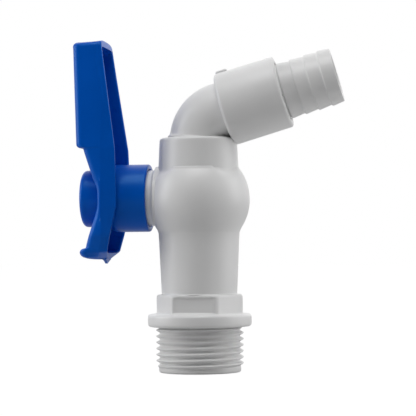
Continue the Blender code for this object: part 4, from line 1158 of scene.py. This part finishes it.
def make_floor():
    bm = bmesh.new()
    half = FLOOR_HALF_SIZE
    corners = ((-half, -half, 0), (half, -half, 0), (half, half, 0), (-half, half, 0))
    bm.faces.new([bm.verts.new(point) for point in corners])
    material = bpy.data.materials.new("pale_floor")
    nodes, links, shader = node_tree_of(material)
    set_inputs(shader, {
        "Base Color": FLOOR_COLOUR, "Roughness": FLOOR_ROUGHNESS, "Specular IOR Level": FLOOR_SPECULAR,
    })
    rays = nodes.new("ShaderNodeLightPath")
    share = nodes.new("ShaderNodeMath")
    share.operation = "MULTIPLY"
    share.inputs[1].default_value = FLOOR_GLOW_SHARE
    links.new(rays.outputs["Is Camera Ray"], share.inputs[0])
    white = nodes.new("ShaderNodeEmission")
    set_inputs(white, {"Strength": FLOOR_GLOW})
    mix = nodes.new("ShaderNodeMixShader")
    links.new(share.outputs["Value"], mix.inputs["Fac"])
    links.new(shader.outputs["BSDF"], mix.inputs[1])
    links.new(white.outputs["Emission"], mix.inputs[2])
    links.new(mix.outputs["Shader"], nodes["Material Output"].inputs["Surface"])
    floor = as_object("pale_ground", bm, material)
    floor.location.z = CAD_BOX[0][2] - GAP


def make_world():
    world = bpy.data.worlds.new("studio")
    bpy.context.scene.world = world
    world.use_nodes = True
    nodes, links = world.node_tree.nodes, world.node_tree.links
    back = nodes["Background"]
    set_inputs(back, {"Color": (1, 1, 1, 1)})
    rays = nodes.new("ShaderNodeLightPath")
    seen = nodes.new("ShaderNodeMath")
    seen.operation = "MAXIMUM"
    links.new(rays.outputs["Is Camera Ray"], seen.inputs[0])
    links.new(rays.outputs["Is Transmission Ray"], seen.inputs[1])
    # The tent is bright behind the object, weaker above it, and dark in front of it
    direction = nodes.new("ShaderNodeTexCoord")
    parts = nodes.new("ShaderNodeSeparateXYZ")
    links.new(direction.outputs["Generated"], parts.inputs["Vector"])
    glow = []
    for axis, dark_end, bright_end, strength in TENT:
        part = nodes.new("ShaderNodeMapRange")
        part.interpolation_type = "SMOOTHSTEP"
        set_inputs(part, {"From Min": dark_end, "From Max": bright_end, "To Max": strength})
        links.new(parts.outputs[axis], part.inputs["Value"])
        glow.append(part.outputs["Result"])
    both = nodes.new("ShaderNodeMath")
    links.new(glow[0], both.inputs[0])
    links.new(glow[1], both.inputs[1])
    level = nodes.new("ShaderNodeMapRange")
    set_inputs(level, {"To Max": 1.0})
    links.new(both.outputs["Value"], level.inputs["To Min"])
    links.new(seen.outputs["Value"], level.inputs["Value"])
    links.new(level.outputs["Result"], back.inputs["Strength"])


def make_camera():
    data = bpy.data.cameras.new("camera")
    data.sensor_width = CAMERA_SENSOR
    data.lens = CAMERA_LENS
    data.clip_start = CAMERA_NEAR
    data.clip_end = CAMERA_FAR
    camera = bpy.data.objects.new("camera", data)
    level = math.cos(CAMERA_PITCH)
    forward = Vector((-math.sin(CAMERA_YAW) * level, math.cos(CAMERA_YAW) * level, math.sin(CAMERA_PITCH)))
    camera.location = CAMERA_AIM - forward * CAMERA_DISTANCE
    turn = forward.to_track_quat("-Z", "Y").to_matrix().to_4x4() @ Matrix.Rotation(CAMERA_ROLL, 4, "Z")
    camera.rotation_euler = turn.to_euler()
    bpy.context.scene.collection.objects.link(camera)
    bpy.context.scene.camera = camera


def main():
    white = finish(
        "white_moulded_plastic", colour=(0.8, 0.8, 0.8), cloud=(0.77, 0.77, 0.77), roughness=0.36,
        bump=0.12, grain=1400.0,
    )
    natural = finish(
        "natural_plastic", colour=(0.82, 0.81, 0.77), cloud=(0.78, 0.77, 0.73), roughness=0.3, bump=0.1,
        grain=1200.0,
    )
    blue = finish(
        "blue_moulded_plastic", colour=(0.0, 0.096, 0.54), cloud=(0.0, 0.088, 0.5), roughness=0.3,
        bump=0.15, grain=1300.0, specular=0.3, tint=(0.25, 0.7, 1.0),
    )
    seat = finish(
        "seat_plastic", colour=(0.88, 0.88, 0.86), cloud=(0.84, 0.84, 0.82), roughness=0.5, bump=0.2,
        grain=900.0,
    )
    rubber = finish(
        "black_rubber", colour=(0.022, 0.022, 0.023), cloud=(0.014, 0.014, 0.015), roughness=0.62, bump=0.4,
        grain=1100.0,
    )
    bright = finish(
        "bright_steel", colour=(0.58, 0.58, 0.59), cloud=(0.5, 0.5, 0.51), roughness=0.3, bump=0.3,
        grain=900.0, metallic=1.0,
    )

    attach(make_body(white), "tap_body")
    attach(make_spout(white), "tap_body")
    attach(make_nipple(white), "tap_body")
    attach(make_lever(blue), "handle_set")
    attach(make_cap(blue), "handle_set")

    inside = {
        natural: ("ball", "stem", "seat_carrier"),
        seat: ("inlet_seat", "outlet_seat", "stem_thrust_washer"),
        rubber: (
            "inlet_seat_backing_ring", "outlet_seat_backing_ring", "collar_gasket", "nipple_gasket",
            "stem_o_ring_inner", "stem_o_ring_outer",
        ),
        bright: ("handle_screw", "screw_washer"),
    }
    for material, names in inside.items():
        for name in names:
            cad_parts[name].data.materials.clear()
            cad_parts[name].data.materials.append(material)

    make_floor()
    make_world()
    for softbox in SOFTBOXES:
        area_light(*softbox)
    make_camera()
    bpy.context.scene.view_settings.view_transform = "Standard"


main()
